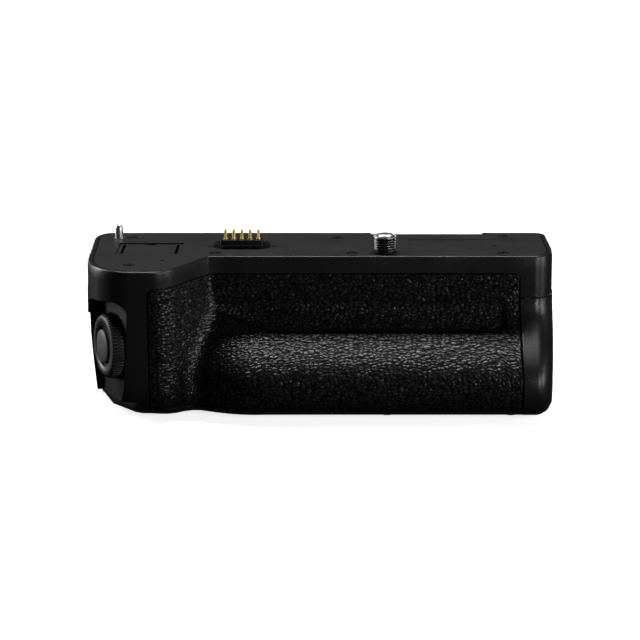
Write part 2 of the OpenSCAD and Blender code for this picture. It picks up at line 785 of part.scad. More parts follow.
module contact_barrels() {
    color([0.75, 0.6, 0.3])
        for (i = [-2:2])
            translate([connector_at[0] + i * contact_pitch, connector_at[1], 0])
                difference() {
                    translate([0, 0, seat_h - 6.8])
                        cylinder(r = 0.62, h = 9.3);
                    translate([0, 0, seat_h - 2.2 - contact_travel])
                        cylinder(r = 0.42 + run, h = 10);
                }
}

module contact_pin(i) {
    color([0.9, 0.7, 0.3])
        translate([connector_at[0] + i * contact_pitch, connector_at[1], 0]) {
            translate([0, 0, seat_h - 2])
                cylinder(r = 0.42, h = contact_top + 1.75);
            translate([0, 0, seat_h + contact_top - 0.25])
                cylinder(r1 = 0.42, r2 = 0.2, h = 0.25);
        }
}
module contact_pin_1() { contact_pin(-2); }
module contact_pin_2() { contact_pin(-1); }
module contact_pin_3() { contact_pin(0); }
module contact_pin_4() { contact_pin(1); }
module contact_pin_5() { contact_pin(2); }

module alignment_pin() {
    color([0.75, 0.75, 0.75])
        translate([pin_at[0], pin_at[1], 0])
            rotate_extrude()
                polygon(concat(
                    [[0, plate_z - 2], [2.1, plate_z - 2], [2.1, plate_z],
                     [pin_foot, plate_z], [pin_foot, seat_h], [pin_d / 2, seat_h]],
                    [for (a = [0:15:75])
                        [pin_d / 2 * cos(a), seat_h + pin_h - pin_d / 2 * (1 - sin(a))]],
                    [[0, seat_h + pin_h]]));
}

module screw_bush() {
    color([0.04, 0.04, 0.04])
        difference() {
            translate([0, 0, plate_z])
                cylinder(r = bush_r, h = plate_t);
            cylinder(r = shank_r + run, h = 60);
        }
}

module camera_screw() {
    color([0.7, 0.7, 0.7]) {
        translate([0, 0, chassis_z + 0.1])
            cylinder(r = spindle_r, h = plate_z - 0.1 - chassis_z);
        translate([0, 0, plate_z - 0.15])
            cylinder(r = shank_r, h = plate_t + 0.3);
        translate([0, 0, seat_h + 0.02])
            cylinder(r = screw_d / 2, h = screw_len - 0.82);
        translate([0, 0, seat_h + screw_len - 0.8])
            cylinder(r1 = screw_d / 2, r2 = screw_d / 2 - 0.7, h = 0.8);
    }
}

// Involute outline of a gear with a tooth on its own X axis
function spin(a) = tan(a) * 180 / PI - a;
function tooth(r, rho, t) =
    let (rb = r * cos(20), q = max(rho, rb))
    90 / t - 0.05 / r * 180 / PI + spin(20) - spin(acos(rb / q));
function gear_outline(t) =
    let (r = gear_m * t / 2, rb = r * cos(20), tip = r + 0.92 * gear_m, root = r - 1.25 * gear_m,
         up = [root, rb, mix(rb, tip, 0.33), mix(rb, tip, 0.67), tip])
    [for (i = [0:t - 1])
        let (c = i * 360 / t)
            each concat(
                [for (q = up) let (a = c - tooth(r, q, t)) [q * cos(a), q * sin(a)]],
                [for (k = [4:-1:0]) let (q = up[k], a = c + tooth(r, q, t)) [q * cos(a), q * sin(a)]])];

module screw_gear() {
    color([0.6, 0.6, 0.55])
        difference() {
            rotate([0, 0, screw_phase])
                slab(gear_outline(screw_t), gear_z - 0.1, gear_z + gear_h + 0.1);
            cylinder(r = spindle_r + 0.02, h = 60);
        }
}

module idler_gear() {
    color([0.85, 0.85, 0.8])
        translate([idler_at[0], idler_at[1], 0])
            difference() {
                slab(gear_outline(idler_t), gear_z, gear_z + gear_h);
                cylinder(r = axle_r + run, h = 60);
            }
}

module idler_axle() {
    color([0.6, 0.6, 0.6])
        translate([idler_at[0], idler_at[1], chassis_z])
            cylinder(r = axle_r, h = gear_z + gear_h + 0.15 - chassis_z);
}

module lock_wheel() {
    color([0.06, 0.06, 0.06])
        translate([wheel_at[0], wheel_at[1], 0])
            difference() {
                union() {
                    translate([0, 0, disc_z])
                        ribbed(wheel_d, wheel_ribs, 0.5, disc_h);
                    rotate([0, 0, wheel_phase])
                        slab(gear_outline(wheel_t), gear_z, gear_z + gear_h);
                    translate([0, 0, disc_z + 1])
                        cylinder(r = 3, h = gear_z - disc_z);
                }
                cylinder(r = axle_r + run, h = 60);
            }
}

module wheel_axle() {
    color([0.6, 0.6, 0.6])
        translate([wheel_at[0], wheel_at[1], chassis_z])
            cylinder(r = axle_r, h = gear_z + gear_h + 0.15 - chassis_z);
}

module chassis_plate() {
    a = [-6.3, cav_front + seat_gap];
    b = [27, inner_back - seat_gap];
    color([0.55, 0.55, 0.57])
        difference() {
            translate([(a[0] + b[0]) / 2, (a[1] + b[1]) / 2, 0])
                slab(round_rect(b[0] - a[0], b[1] - a[1], 2), chassis_z, chassis_z + chassis_t);
            cylinder(r = spindle_r + run, h = 60);
            for (p = [idler_at, wheel_at])
                translate([p[0], p[1], 0])
                    cylinder(r = axle_r + 0.02, h = 60);
        }
}

module dial_base() {
    color([0.03, 0.03, 0.03])
        on_deck()
            difference() {
                union() {
                    translate([0, 0, -2 + 0.02])
                        cylinder(r = 8.2, h = 1.98);
                    cylinder(r = shutter_d / 2 + 0.8, h = dial_h - 0.7);
                }
                translate([0, 0, 0])
                    cylinder(r = shutter_d / 2 + gap, h = 10);
                translate([0, 0, -5])
                    cylinder(r = 1.5 + run, h = 10);
            }
}

module front_dial() {
    r = dial_d / 2;
    color([0.05, 0.05, 0.05])
        on_deck()
            difference() {
                union() {
                    translate([0, 0, 0.3])
                        ribbed(dial_d, dial_ribs, 0.4, dial_h - 1);
                    rotate_extrude()
                        polygon([[0, 0.4], [r - 0.5, 0.4], [r - 0.5, dial_h - 0.4],
                            [r - 0.9, dial_h], [0, dial_h]]);
                }
                cylinder(r = shutter_d / 2 + 0.8 + run, h = 20, center = true);
            }
}

module shutter_button() {
    r = shutter_d / 2;
    color([0.2, 0.2, 0.21])
        on_deck() {
            rotate_extrude()
                polygon([[0, shutter_travel + 0.3], [r, shutter_travel + 0.3], [r, dial_h],
                    [r - 0.25, dial_h + 0.3], [r - 1, dial_h + 0.5], [r - 2.6, dial_h + 0.66],
                    [0, dial_h + 0.72]]);
            translate([0, 0, -3.6])
                cylinder(r = 1.5, h = 3.6 + shutter_travel + 0.5);
        }
}

module shutter_switch() {
    color([0.1, 0.25, 0.15])
        on_deck() {
            translate([-5.5, -5.5, -8.8 + 0.02])
                cube([11, 11, 0.9]);
            translate([-3, -3, -8.6])
                cube([6, 6, 2.6]);
            translate([0, 0, -7])
                cylinder(r = 1.2, h = 7 - 3.8 - shutter_travel);
        }
}

module button_panel() {
    color([0.015, 0.015, 0.015])
        on_panel()
            difference() {
                translate([1.1, (panel_low + panel_high) / 2, 0])
                    slab(round_rect(10, panel_high - panel_low, 1), -1.5 + 0.02, 0);
                for (i = [-1:1])
                    translate([key_x, i * key_pitch, -5])
                        cylinder(r = key_d / 2 + gap, h = 10);
            }
}

module key(i) {
    color([0.07, 0.07, 0.07])
        on_panel()
            translate([key_x, i * key_pitch, 0])
                rotate_extrude()
                    polygon([[0, -2.8], [1, -2.8], [1, -2.5], [key_flange, -2.5],
                        [key_flange, -1.7], [key_d / 2, -1.7], [key_d / 2, 0.4],
                        [key_d / 2 - 0.3, 0.65], [0, 0.75]]);
}
module white_balance_button() { key(1); }
module sensitivity_button() { key(0); }
module exposure_button() { key(-1); }

module key_switches() {
    color([0.1, 0.25, 0.15])
        on_panel() {
            translate([-2.2, 0.6 - key_room, -5.6 + 0.02])
                cube([6.8, 2 * key_room - 1.2, 0.8]);
            for (i = [-1:1])
                translate([key_x - 2, i * key_pitch - 2, -5])
                    cube([4, 4, 5 - 2.95 - key_travel]);
        }
}

module control_lock() {
    color([0.12, 0.12, 0.12]) {
        translate([lock_x - 0.1, lock_y, lock_z])
            rotate([0, -90, 0])
                slab(round_rect(8.4, 3.8, 1), 0, lock_t);
        block([lock_x - 0.3, lock_y - 0.75, lock_z - 2.8], [lock_x + 3.2, lock_y + 0.75, lock_z + 2.4]);
        block([lock_x + 2.2, lock_y - 2, lock_z - 3.6], [lock_x + 3.4, lock_y + 2, lock_z + 3.2]);
    }
}

module rear_dial() {
    color([0.05, 0.05, 0.05])
        translate([rear_dial_x[0], rear_dial_y, rear_dial_z])
            rotate([0, 90, 0])
                difference() {
                    ribbed(rear_dial_d, rear_ribs, 0.5, rear_dial_x[1] - rear_dial_x[0]);
                    cylinder(r = 1.2 + run, h = 40, center = true);
                }
}

module rear_dial_axle() {
    color([0.6, 0.6, 0.6])
        translate([rear_dial_x[0] - 2, rear_dial_y, rear_dial_z])
            rotate([0, 90, 0])
                cylinder(r = 1.2, h = rear_dial_x[1] - rear_dial_x[0] + 4);
}

module rear_dial_bracket() {
    x0 = rear_dial_x[0] - 2.4 + 0.05;
    x1 = rear_dial_x[1] + 2.4 - 0.05;
    color([0.5, 0.5, 0.52])
        difference() {
            block([x0, split_y + 0.6, rear_dial_z - 3.2], [x1, rear_dial_y + 2.6, rear_dial_z + 3.2]);
            block([rear_dial_x[0] - 0.6, split_y + 1.6, 0], [rear_dial_x[1] + 0.6, 60, 60]);
            translate([x0 - 1, rear_dial_y, rear_dial_z])
                rotate([0, 90, 0])
                    cylinder(r = 1.2 + 0.02, h = 40);
        }
}

module focus_button() {
    r = focus_d / 2;
    color([0.07, 0.07, 0.07])
        translate([control_x, 0, focus_z])
            rotate([-90, 0, 0])
                rotate_extrude()
                    polygon([[0, inner_back - 1.4], [r + 0.8, inner_back - 1.4],
                        [r + 0.8, inner_back - 0.6], [r, inner_back - 0.6], [r, back + 0.5],
                        [r - 0.4, back + 0.8], [0, back + 0.9]]);
}

module joystick() {
    r = stick_d / 2;
    cap = back + 1;
    color([0.06, 0.06, 0.06])
        translate([control_x, 0, stick_z])
            rotate([-90, 0, 0])
                rotate_extrude()
                    polygon(concat(
                        [for (a = [-90:15:30]) [1.8 * cos(a), stick_y + 1.8 * sin(a)]],
                        [[1.4, stick_y + 1.2], [1.4, cap], [r - 0.4, cap], [r, cap + 0.4],
                         [r, cap + 1], [r - 0.5, cap + 1.5], [0, cap + 1.2]]));
}

module joystick_gimbal() {
    color([0.5, 0.5, 0.5])
        translate([control_x, 0, stick_z])
            rotate([-90, 0, 0])
                difference() {
                    translate([0, 0, stick_y - 0.5])
                        cylinder(r = 3.3, h = 1);
                    cylinder(r = 2.1, h = 60);
                }
}

module rear_board() {
    x0 = control_x - 7.4;
    x1 = control_x + 7.6;
    color([0.1, 0.25, 0.15]) {
        block([x0 + 0.6, board_y - 1, 6.6], [x1, board_y, seat_h - 5.6]);
        block([control_x - 2.4, board_y - 0.2, focus_z - 2.4],
            [control_x + 2.4, inner_back - 2, focus_z + 2.4]);
        translate([control_x, 0, stick_z])
            rotate([-90, 0, 0])
                difference() {
                    translate([0, 0, board_y - 0.2])
                        cylinder(r = 4.8, h = 2.9);
                    translate([0, 0, board_y])
                        cylinder(r = 4, h = 60);
                }
    }
}

module main_board() {
    x = connector_at[0];
    color([0.1, 0.25, 0.15]) {
        block([x - 8.6, 2, seat_h - 8], [x + 24.4, inner_back - 3.7, seat_h - 6.8]);
        block([-30, 6, seat_h - 7], [-22, 14, seat_h - 5.6]);
        block([-31, 18, seat_h - 7], [-19, 23, seat_h - 4.4]);
        block([x - 6, 16, seat_h - 9.4], [x + 6, 21, seat_h - 7.8]);
    }
}

module battery_chamber() {
    mid = [(cell_f + cell_b) / 2, (cell_low + cell_high) / 2];
    w = cell_b - cell_f;
    h = cell_high - cell_low;
    color([0.12, 0.12, 0.12])
        difference() {
            translate([cell_end - 1, mid[0], mid[1]])
                rotate([90, 0, 90])
                    slab(round_rect(w + 2 * cell_wall, h + 2 * cell_wall, cell_r + cell_wall),
                        0, door_x - cell_end + 1);
            translate([cell_end, mid[0], mid[1]])
                rotate([90, 0, 90])
                    slab(round_rect(w, h, cell_r), 0, 200);
            for (i = [0:3])
                block([cell_end - 9, 3 + i * 5 - 0.6, 6.8], [cell_end + 9, 3 + i * 5 + 0.6, 13.2]);
            block([door_x - 2, 14, cell_high - 2.2], [door_x + 9, catch_at[0] - 1, 60]);
        }
}

module battery_contacts() {
    color([0.85, 0.7, 0.35])
        for (i = [0:3])
            difference() {
                block([cell_end - 1.05, 3 + i * 5 - 0.5, 7], [cell_end + 1.4, 3 + i * 5 + 0.5, 13]);
                block([cell_end - 2, 3 + i * 5 - 2, 6], [cell_end - 1.02, 3 + i * 5 + 2, 14]);
            }
}

module eject_spring() {
    x = cell_end + 0.02;
    color([0.7, 0.7, 0.7])
        translate([0, 0, 6])
            linear_extrude(10)
                polygon([[x, -7], [x + 0.4, -7], [x + 1.3, -3.5], [x + 0.4, 0], [x, 0],
                    [x, -0.3], [x + 0.9, -3.5], [x, -6.7]]);
}

catch_at = [inner_back - 4.2, cell_high + 3.3];
module battery_catch() {
    y0 = 15;
    color([0.85, 0.35, 0.08])
        difference() {
            union() {
                translate([door_x - 1.6, catch_at[0], catch_at[1]])
                    rotate([0, 90, 0])
                        cylinder(r = 2, h = 1.3);
                block([door_x - 1.6, y0, catch_at[1] - 2], [door_x - 0.3, catch_at[0], catch_at[1] + 0.6]);
            }
            translate([0, catch_at[0], catch_at[1]])
                rotate([0, 90, 0])
                    cylinder(r = 0.8 + run, h = 100);
        }
}

module catch_pivot() {
    color([0.6, 0.6, 0.6])
        translate([door_x - 2, catch_at[0], catch_at[1]])
            rotate([0, 90, 0])
                cylinder(r = 0.8, h = 1.8);
}

strike_y = [1.2, 4.2];
strike_t = 0.9;
hook_top = cell_high - 0.4;
module latch_strike() {
    z = hook_top + latch_travel + 0.2;
    color([0.6, 0.6, 0.6]) {
        block([door_x, strike_y[0], z], [door_x + 2.6, strike_y[1], z + strike_t]);
        block([door_x + 2.4, strike_y[0], z - 1.3], [door_x + 3.6, strike_y[1], z + strike_t]);
    }
}

door_end = 3.2;
door_lip = 0.25;
latch_y = 7;
latch_z = 13;
module battery_door() {
    x0 = door_x + seam;
    xi = body_right - door_end;
    color([0.045, 0.045, 0.05])
        difference() {
            body_loft(-door_lip);
            block([-100, -100, -1], [x0, 100, 100]);
            block([0, -100, door_z - seam], [100, 100, 100]);
            soft_block([x0 - 3, -13, base + door_t], [xi, inner_back - 3, 15], 1.6);
            soft_block([x0 - 3, -7, base + door_t], [xi, inner_back - 2, 21.5], 1.6);
            soft_block([x0 - 3, -1, base + door_t], [xi, inner_back, door_z - door_t], 1.2);
            difference() {
                block([x0 - 1, hinge_y, -1], [hinge_x, back + 1, 60]);
                translate([hinge_x, hinge_y, -2])
                    cylinder(r = hinge_r, h = 70, $fn = 40);
            }
            translate([hinge_x, hinge_y, hinge_low - 0.3])
                cylinder(r = hinge_r + 0.3, h = hinge_high - hinge_low + 0.6, $fn = 40);
            block([x0 - 1, back - leaf_t - 0.3, hinge_low - 0.3],
                [hinge_x + 1.6, back + 1, hinge_high + 0.3]);
            block([hinge_x + 1, back - leaf_t - seat_gap, hinge_low - seat_gap],
                [hinge_x + 6 + seat_gap, back + 1, hinge_high + seat_gap]);
            soft_block_x([body_right - 1.6, latch_y - 4, latch_z - 5], [body_right + 2, latch_y + 4, latch_z + 9], 2);
            soft_block_x([xi - 1, latch_y - 1.3, latch_z - 2], [body_right, latch_y + 1.3, latch_z + 5.4], 0.8);
            for (y = [16, 20, 24])
                soft_block_x([xi - 1, y, 6], [xi + 0.8, y + 2.4, 26], 0.8);
        }
}

module door_latch() {
    xi = body_right - door_end;
    color([0.1, 0.1, 0.1]) {
        translate([body_right - 1.4, latch_y, latch_z + 0.8])
            rotate([90, 0, 90])
                slab(round_rect(6.6, 7, 1.4), 0, 1.1);
        block([xi - 0.6, latch_y - 1, latch_z - 1.4], [body_right - 1, latch_y + 1, latch_z + 2.4]);
        block([xi - 1.7, strike_y[0], latch_z - 1.6], [xi - 0.3, latch_y + 3, latch_z + 2.4]);
        block([door_x + 0.8, strike_y[0], latch_z - 1.6], [xi - 0.3, strike_y[0] + 2.6, latch_z + 2.4]);
        block([door_x + 0.8, strike_y[0], latch_z - 1.6], [door_x + 2.2, strike_y[0] + 2.6, hook_top]);
    }
}

module hinge_leaf() {
    z0 = hinge_low + ear + 0.2;
    z1 = hinge_high - ear - 0.2;
    color([0.55, 0.55, 0.57])
        difference() {
            union() {
                translate([hinge_x, hinge_y, z0])
                    cylinder(r = hinge_r, h = z1 - z0);
                block([hinge_x, back - leaf_t, z0], [hinge_x + 2, back - 0.04, z1]);
                block([hinge_x + 1.8, back - leaf_t, hinge_low], [hinge_x + 6, back - 0.04, hinge_high]);
            }
            translate([hinge_x, hinge_y, 0])
                cylinder(r = hinge_pin_d / 2 + run, h = 60);
        }
}

module hinge_pin() {
    color([0.7, 0.7, 0.7])
        translate([hinge_x, hinge_y, hinge_low])
            cylinder(r = hinge_pin_d / 2, h = hinge_high - hinge_low);
}

module hinge_bracket() {
    color([0.55, 0.55, 0.57])
        difference() {
            union() {
                block([door_x - 5.2, back - leaf_t, hinge_low], [door_x - 0.1, back - 0.04, hinge_high]);
                for (z = [hinge_low, hinge_high - ear]) {
                    translate([hinge_x, hinge_y, z])
                        cylinder(r = hinge_r, h = ear);
                    block([door_x - 1, back - leaf_t, z], [hinge_x, back - 0.04, z + ear]);
                }
            }
            translate([hinge_x, hinge_y, 0])
                cylinder(r = hinge_pin_d / 2 + 0.02, h = 60);
        }
}

module tripod_socket() {
    color([0.72, 0.72, 0.72])
        translate([tripod_at[0], tripod_at[1], 0])
            difference() {
                union() {
                    cylinder(r = 8, h = base + 1.2);
                    cylinder(r = 5.4, h = tripod_depth + 1.2);
                }
                translate([0, 0, -1])
                    cylinder(r = tripod_d / 2, h = tripod_depth + 1);
            }
}

module rest_pads() {
    color([0.03, 0.03, 0.03])
        for (p = pads)
            translate([p[0], p[1], 0])
                cylinder(r = 1.8, h = pad_h);
}

module bottom_screws() {
    color([0.06, 0.06, 0.06])
        for (p = foot_screws)
            translate([p[0], p[1], 0]) {
                translate([0, 0, base + 0.35])
                    cylinder(r = head_r, h = 0.85);
                translate([0, 0, base + 0.6])
                    cylinder(r = screw_r, h = 5);
            }
}

module hang() {
    translate([0, 0, -seat_h])
        children();
}

hang() front_case();
hang() rear_case();
hang() top_plate();
hang() top_plate_screws();
hang() front_grip_cover();
hang() thumb_rest();
hang() cover_holder();
hang() connector_block();
hang() connector_seal();
hang() contact_barrels();
hang() contact_pin_1();
hang() contact_pin_2();
hang() contact_pin_3();
hang() contact_pin_4();
hang() contact_pin_5();
hang() alignment_pin();
hang() screw_bush();
hang() camera_screw();
hang() screw_gear();
hang() idler_gear();
hang() idler_axle();
hang() lock_wheel();
hang() wheel_axle();
hang() chassis_plate();
hang() dial_base();
hang() front_dial();
hang() shutter_button();
hang() shutter_switch();
hang() button_panel();
hang() white_balance_button();
hang() sensitivity_button();
hang() exposure_button();
hang() key_switches();
hang() control_lock();
hang() rear_dial();
hang() rear_dial_axle();
hang() rear_dial_bracket();
hang() focus_button();
hang() joystick();
hang() joystick_gimbal();
hang() rear_board();
hang() main_board();
hang() battery_chamber();
hang() battery_contacts();
hang() eject_spring();
hang() battery_catch();
hang() catch_pivot();
hang() latch_strike();
hang() battery_door();
hang() door_latch();
hang() hinge_leaf();
hang() hinge_pin();
hang() hinge_bracket();
hang() tripod_socket();
hang() rest_pads();
hang() bottom_screws();
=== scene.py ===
"""Looks of a camera battery grip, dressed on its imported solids.

The solids stay as they are and get procedural finishes. The soft coverings, the threaded camera
screw, the ribbed dial and the screw heads are finer meshes that stand for their plain solids.
Lengths are millimetres here, measured as in the part: X and Y from the camera screw's axis, Z from
the camera seat. Heights in the grip's own formulas are above the table. MM turns them into metres.
"""

import json
import math

import bpy
import numpy as np
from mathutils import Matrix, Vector


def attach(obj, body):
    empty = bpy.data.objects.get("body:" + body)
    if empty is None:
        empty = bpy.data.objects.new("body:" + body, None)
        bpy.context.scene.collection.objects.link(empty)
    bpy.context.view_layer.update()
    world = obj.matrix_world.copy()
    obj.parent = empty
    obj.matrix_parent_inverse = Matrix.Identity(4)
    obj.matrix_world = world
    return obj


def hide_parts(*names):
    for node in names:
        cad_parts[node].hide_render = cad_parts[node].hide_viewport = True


MM = 0.001
FULL_TURN = 2 * math.pi
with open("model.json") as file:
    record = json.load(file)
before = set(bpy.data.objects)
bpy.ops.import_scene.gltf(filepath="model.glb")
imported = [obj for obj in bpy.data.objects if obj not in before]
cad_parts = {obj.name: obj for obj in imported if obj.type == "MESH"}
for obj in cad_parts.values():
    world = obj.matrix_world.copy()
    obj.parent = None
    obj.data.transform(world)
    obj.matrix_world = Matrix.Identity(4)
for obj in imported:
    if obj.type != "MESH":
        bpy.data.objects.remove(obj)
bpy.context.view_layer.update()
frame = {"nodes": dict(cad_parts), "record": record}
nodes = frame["nodes"]

# Body of the grip, as in the part
SEAT = 44.0
BASE = 0.5
BAND_FRONT = 5.3
BACK = 31.7
DOOR_X = 38.2

# Finger column: its depth, and how steeply its flank falls back, at the top and low down
COLUMN_TOP, COLUMN_LOW = 27.9, 22.8
FLANK_X, FLANK_SOFT = -60.9, 3
FLANK_LOW, FLANK_TOP = 1.2, 2.08

# Palm swell, and how softly it meets the column
PALM_DEPTH, PALM_TOP, PALM_FULL = 18.1, 31.0, 10.5
PALM_LEFT, PALM_RUN = -75, 40
BLEND_LOW, BLEND_HIGH = 6, 1
BLEND_FROM, BLEND_RUN = 20, 20

# Finger recess and the crease under it, which sweeps up at its left end
CREASE_H, CREASE_SWEEP = 23.6, 0.0125
CREASE_BEND_X, CREASE_LEFT = -26.5, -50
RECESS_DEPTH, RECESS_RIGHT, RECESS_CORNER = 2.2, 34.7, 4.0
RECESS_TOP = SEAT - 11
RECESS_LEFT, RECESS_FADE, RECESS_END, RECESS_LIP = -50, 14, 2.2, 0.35
RECESS_POWER = 1.5
# The crease line is pressed in and painted dark as shade.
SEAM_DROP, SEAM_WIDTH, SEAM_LEFT, SEAM_END = 0.2, 0.4, -48, 0.6

# Rounding along the grip's lower front edge
EDGE_LEFT, EDGE_MIDDLE, EDGE_RIGHT = 10.4, 6.6, 9
EDGE_FROM_X, EDGE_BEND_X = -68, -53
EDGE_LEFT_RUN, EDGE_RIGHT_RUN = 15, 22

# Coverings: outlines, grain and edges
COVER_LEFT, COVER_RIGHT = -66.0, DOOR_X - 0.1
COVER_LOW, COVER_HIGH = BASE + 2.4, SEAT - 5
COVER_CORNER = 2.0
THUMB_AT, THUMB_SIZE, THUMB_R = (-42.0, 22.0), (24.0, 32.0), 62.0
THUMB_CROWN = BACK + 1.4
THUMB_CORNER = 4.0
GRAIN_STEP = 0.2
PEBBLE, FRONT_RELIEF, THUMB_RELIEF = 0.86, 0.25, 0.22
PEBBLE_STRETCH, PEBBLE_BEND, BEND_SIZE = 1.6, 0.75, 1.7
GRAIN_LEVEL = 0.6
ROLL, ROLL_SINK, ROLL_BACK = 0.45, 0.25, 0.75

# Dial and shutter button
DECK_ANGLE = math.radians(24)
DIAL_AT = (-75.789, -16.79, 21 - SEAT)
DIAL_R, DIAL_H, DIAL_RIBS = 9.3, 3.5, 54
DIAL_FOOT, RIB_DEPTH, RIB_POINTS = 0.3, 0.8, 12
SHUTTER_R = 4.8
DIAL_BORE = SHUTTER_R + 0.86

# Camera screw
SCREW_R, SCREW_PITCH, SCREW_TURNS = 3.175, 0.7, 96
SCREW_ROOT = -1.0
THREAD_R, THREAD_DEPTH = 3.0, 0.45
THREAD_LOW, THREAD_TOP, THREAD_RINGS = 1.05, 4.48, 14
COLLAR_IN, COLLAR_OUT, COLLAR_H, COLLAR_TURNS = 2.7, 3.16, 1.02, 72

# Screws of the top plate and of the underside
PLATE_SCREWS = [
    (-73.6, 23.4), (-71.3, -17.6), (-48.2, -0.3), (-9.2, -0.3),
    (-13.0, 23.1), (35.4, 25.0), (33.5, -0.3),
]
PLATE_SCREW_TOP = -0.15
FOOT_SCREWS = [(-52.0, -7.0), (-50.0, 24.0)]
FOOT_SCREW_TOP = BASE + 0.35 - SEAT
HEAD_R, HEAD_POINTS = 1.6, 41
HEAD_ROUND, HEAD_DROP = 0.3, 0.2
CROSS_HALF, CROSS_REACH, CROSS_DEPTH = 0.26, 0.95, 0.42
CROSS_SIDE, CROSS_END = 0.12, 0.15
FIRST_TURN, NEXT_TURN = 0.5, 0.9

# Thin edge of the front case, below the button panel
SLIVER_AT, SLIVER_REACH, SLIVER_WIDTH = (-80.3, -6.5, 3.6 - SEAT), 0.9, 1.2

# Shading of the solids
WELD_MM = 0.001
CRISP_ANGLE = math.radians(32)

# Studio: lights by name with place, size and watts, then the floor (metres) and the camera
MIDDLE = (-18, 0, -20)
LIGHTS = {
    "top_box": ((-18, 200, 585), (620, 70), 4.0),
    "right_strip": ((406, -424, 130), (40, 340), 1.4),
    "side_strip": ((620, -60, 80), (240, 300), 1.1),
    "left_strip": ((-560, 260, 140), (160, 380), 2.3),
    "back_strip": ((-18, 700, -22), (700, 40), 1.6),
}
FLOOR_R, COVE_R, WALL_H, FLOOR_TURNS = 3.2, 1.2, 4.5, 64
GLOW_FROM = (0, -0.95, -0.3)
GLOW_LOW, GLOW_HIGH = 0.012, 0.06
CAMERA_AIM = (-18.45, 0.0, -19.6)
CAMERA_ELEVATION = math.radians(12.6)
CAMERA_DISTANCE = 690.0
SENSOR, FOCAL_LENGTH = 36, 135.7


# Node helpers

def new_material(name, **sockets):
    """A Principled material with constant sockets set on the shader itself."""
    made = bpy.data.materials.new(name)
    made.use_nodes = True
    shader = made.node_tree.nodes["Principled BSDF"]
    for key, value in sockets.items():
        shader.inputs[key.replace("_", " ")].default_value = value
    return made, made.node_tree, shader


def coords(tree, stretch=(1, 1, 1)):
    """Object coordinates, which are the part's frame in metres."""
    source = tree.nodes.new("ShaderNodeTexCoord")
    scale = tree.nodes.new("ShaderNodeMapping")
    scale.inputs["Scale"].default_value = stretch
    tree.links.new(source.outputs["Object"], scale.inputs["Vector"])
    return scale.outputs["Vector"]


def noise(tree, vector, size_mm, detail=3.0, rough=0.55):
    """Noise whose features are about size_mm across."""
    made = tree.nodes.new("ShaderNodeTexNoise")
    made.inputs["Scale"].default_value = 1 / (size_mm * MM)
    made.inputs["Detail"].default_value = detail
    made.inputs["Roughness"].default_value = rough
    tree.links.new(vector, made.inputs["Vector"])
    return made.outputs["Fac"]


def mesh_values(tree, name):
    """Values that the mesh itself carries under a name."""
    made = tree.nodes.new("ShaderNodeAttribute")
    made.attribute_name = name
    return made.outputs["Fac"]


def ramp(tree, value, low, high, start=0.3, end=0.7):
    """Maps a 0 to 1 pattern onto two colours."""
    made = tree.nodes.new("ShaderNodeValToRGB")
    for stop, place, colour in zip(made.color_ramp.elements, (start, end), (low, high)):
        stop.position = place
        stop.color = (*colour, 1)
    tree.links.new(value, made.inputs["Fac"])
    return made.outputs["Color"]


def span(tree, value, low, high):
    """Maps a 0 to 1 pattern onto a range of numbers."""
    made = tree.nodes.new("ShaderNodeMapRange")
    made.inputs["From Min"].default_value = 0.3
    made.inputs["From Max"].default_value = 0.7
    made.inputs["To Min"].default_value = low
    made.inputs["To Max"].default_value = high
    tree.links.new(value, made.inputs["Value"])
    return made.outputs["Result"]


def bump(tree, shader, height, depth_mm, before=None):
    """Presses a height pattern into the shader's normal, on top of the normal before it."""
    made = tree.nodes.new("ShaderNodeBump")
    made.inputs["Distance"].default_value = depth_mm * MM
    tree.links.new(height, made.inputs["Height"])
    if before is not None:
        tree.links.new(before, made.inputs["Normal"])
    tree.links.new(made.outputs["Normal"], shader.inputs["Normal"])


def soft_edges(tree, radius_mm):
    """Normals that turn over each edge as a small rounding does."""
    made = tree.nodes.new("ShaderNodeBevel")
    made.samples = 4
    made.inputs["Radius"].default_value = radius_mm * MM
    return made.outputs["Normal"]


def grey(level, tint=0.0):
    """A grey, with a little more blue where tint is above 0."""
    return (level, level, level * (1 + tint))


# Finishes

def tones(level, swing=0.3):
    """The darker and lighter grey of a moulded surface."""
    return grey(level * (1 - swing), 0.03), grey(level * (1 + swing), 0.03)


def moulded(name, colours, rough, grain_mm=0.32, depth_mm=0.03, **sockets):
    """Moulded or painted surface: a fine spark-eroded grain, faint handling marks, uneven gloss."""
    made, tree, shader = new_material(name, **sockets)
    at = coords(tree)
    cloud = noise(tree, at, 14, 4)
    grain = noise(tree, at, grain_mm, 2, 0.6)
    tree.links.new(ramp(tree, cloud, *colours), shader.inputs["Base Color"])
    tree.links.new(span(tree, cloud, rough - 0.05, rough + 0.06), shader.inputs["Roughness"])
    bump(tree, shader, grain, depth_mm, soft_edges(tree, 0.2))
    return made


def metal(name, colour, rough):
    """Turned or plated metal: drawn-out brush marks and a little tarnish."""
    made, tree, shader = new_material(name, Metallic=1.0)
    marks = noise(tree, coords(tree, (1, 1, 14)), 0.9, 2)
    tarnish = noise(tree, coords(tree), 3.5, 3)
    dull = tuple(c * 0.72 for c in colour)
    tree.links.new(ramp(tree, tarnish, dull, colour, 0.25, 0.6), shader.inputs["Base Color"])
    tree.links.new(span(tree, marks, rough - 0.06, rough + 0.08), shader.inputs["Roughness"])
    bump(tree, shader, marks, 0.006, soft_edges(tree, 0.1))
    return made


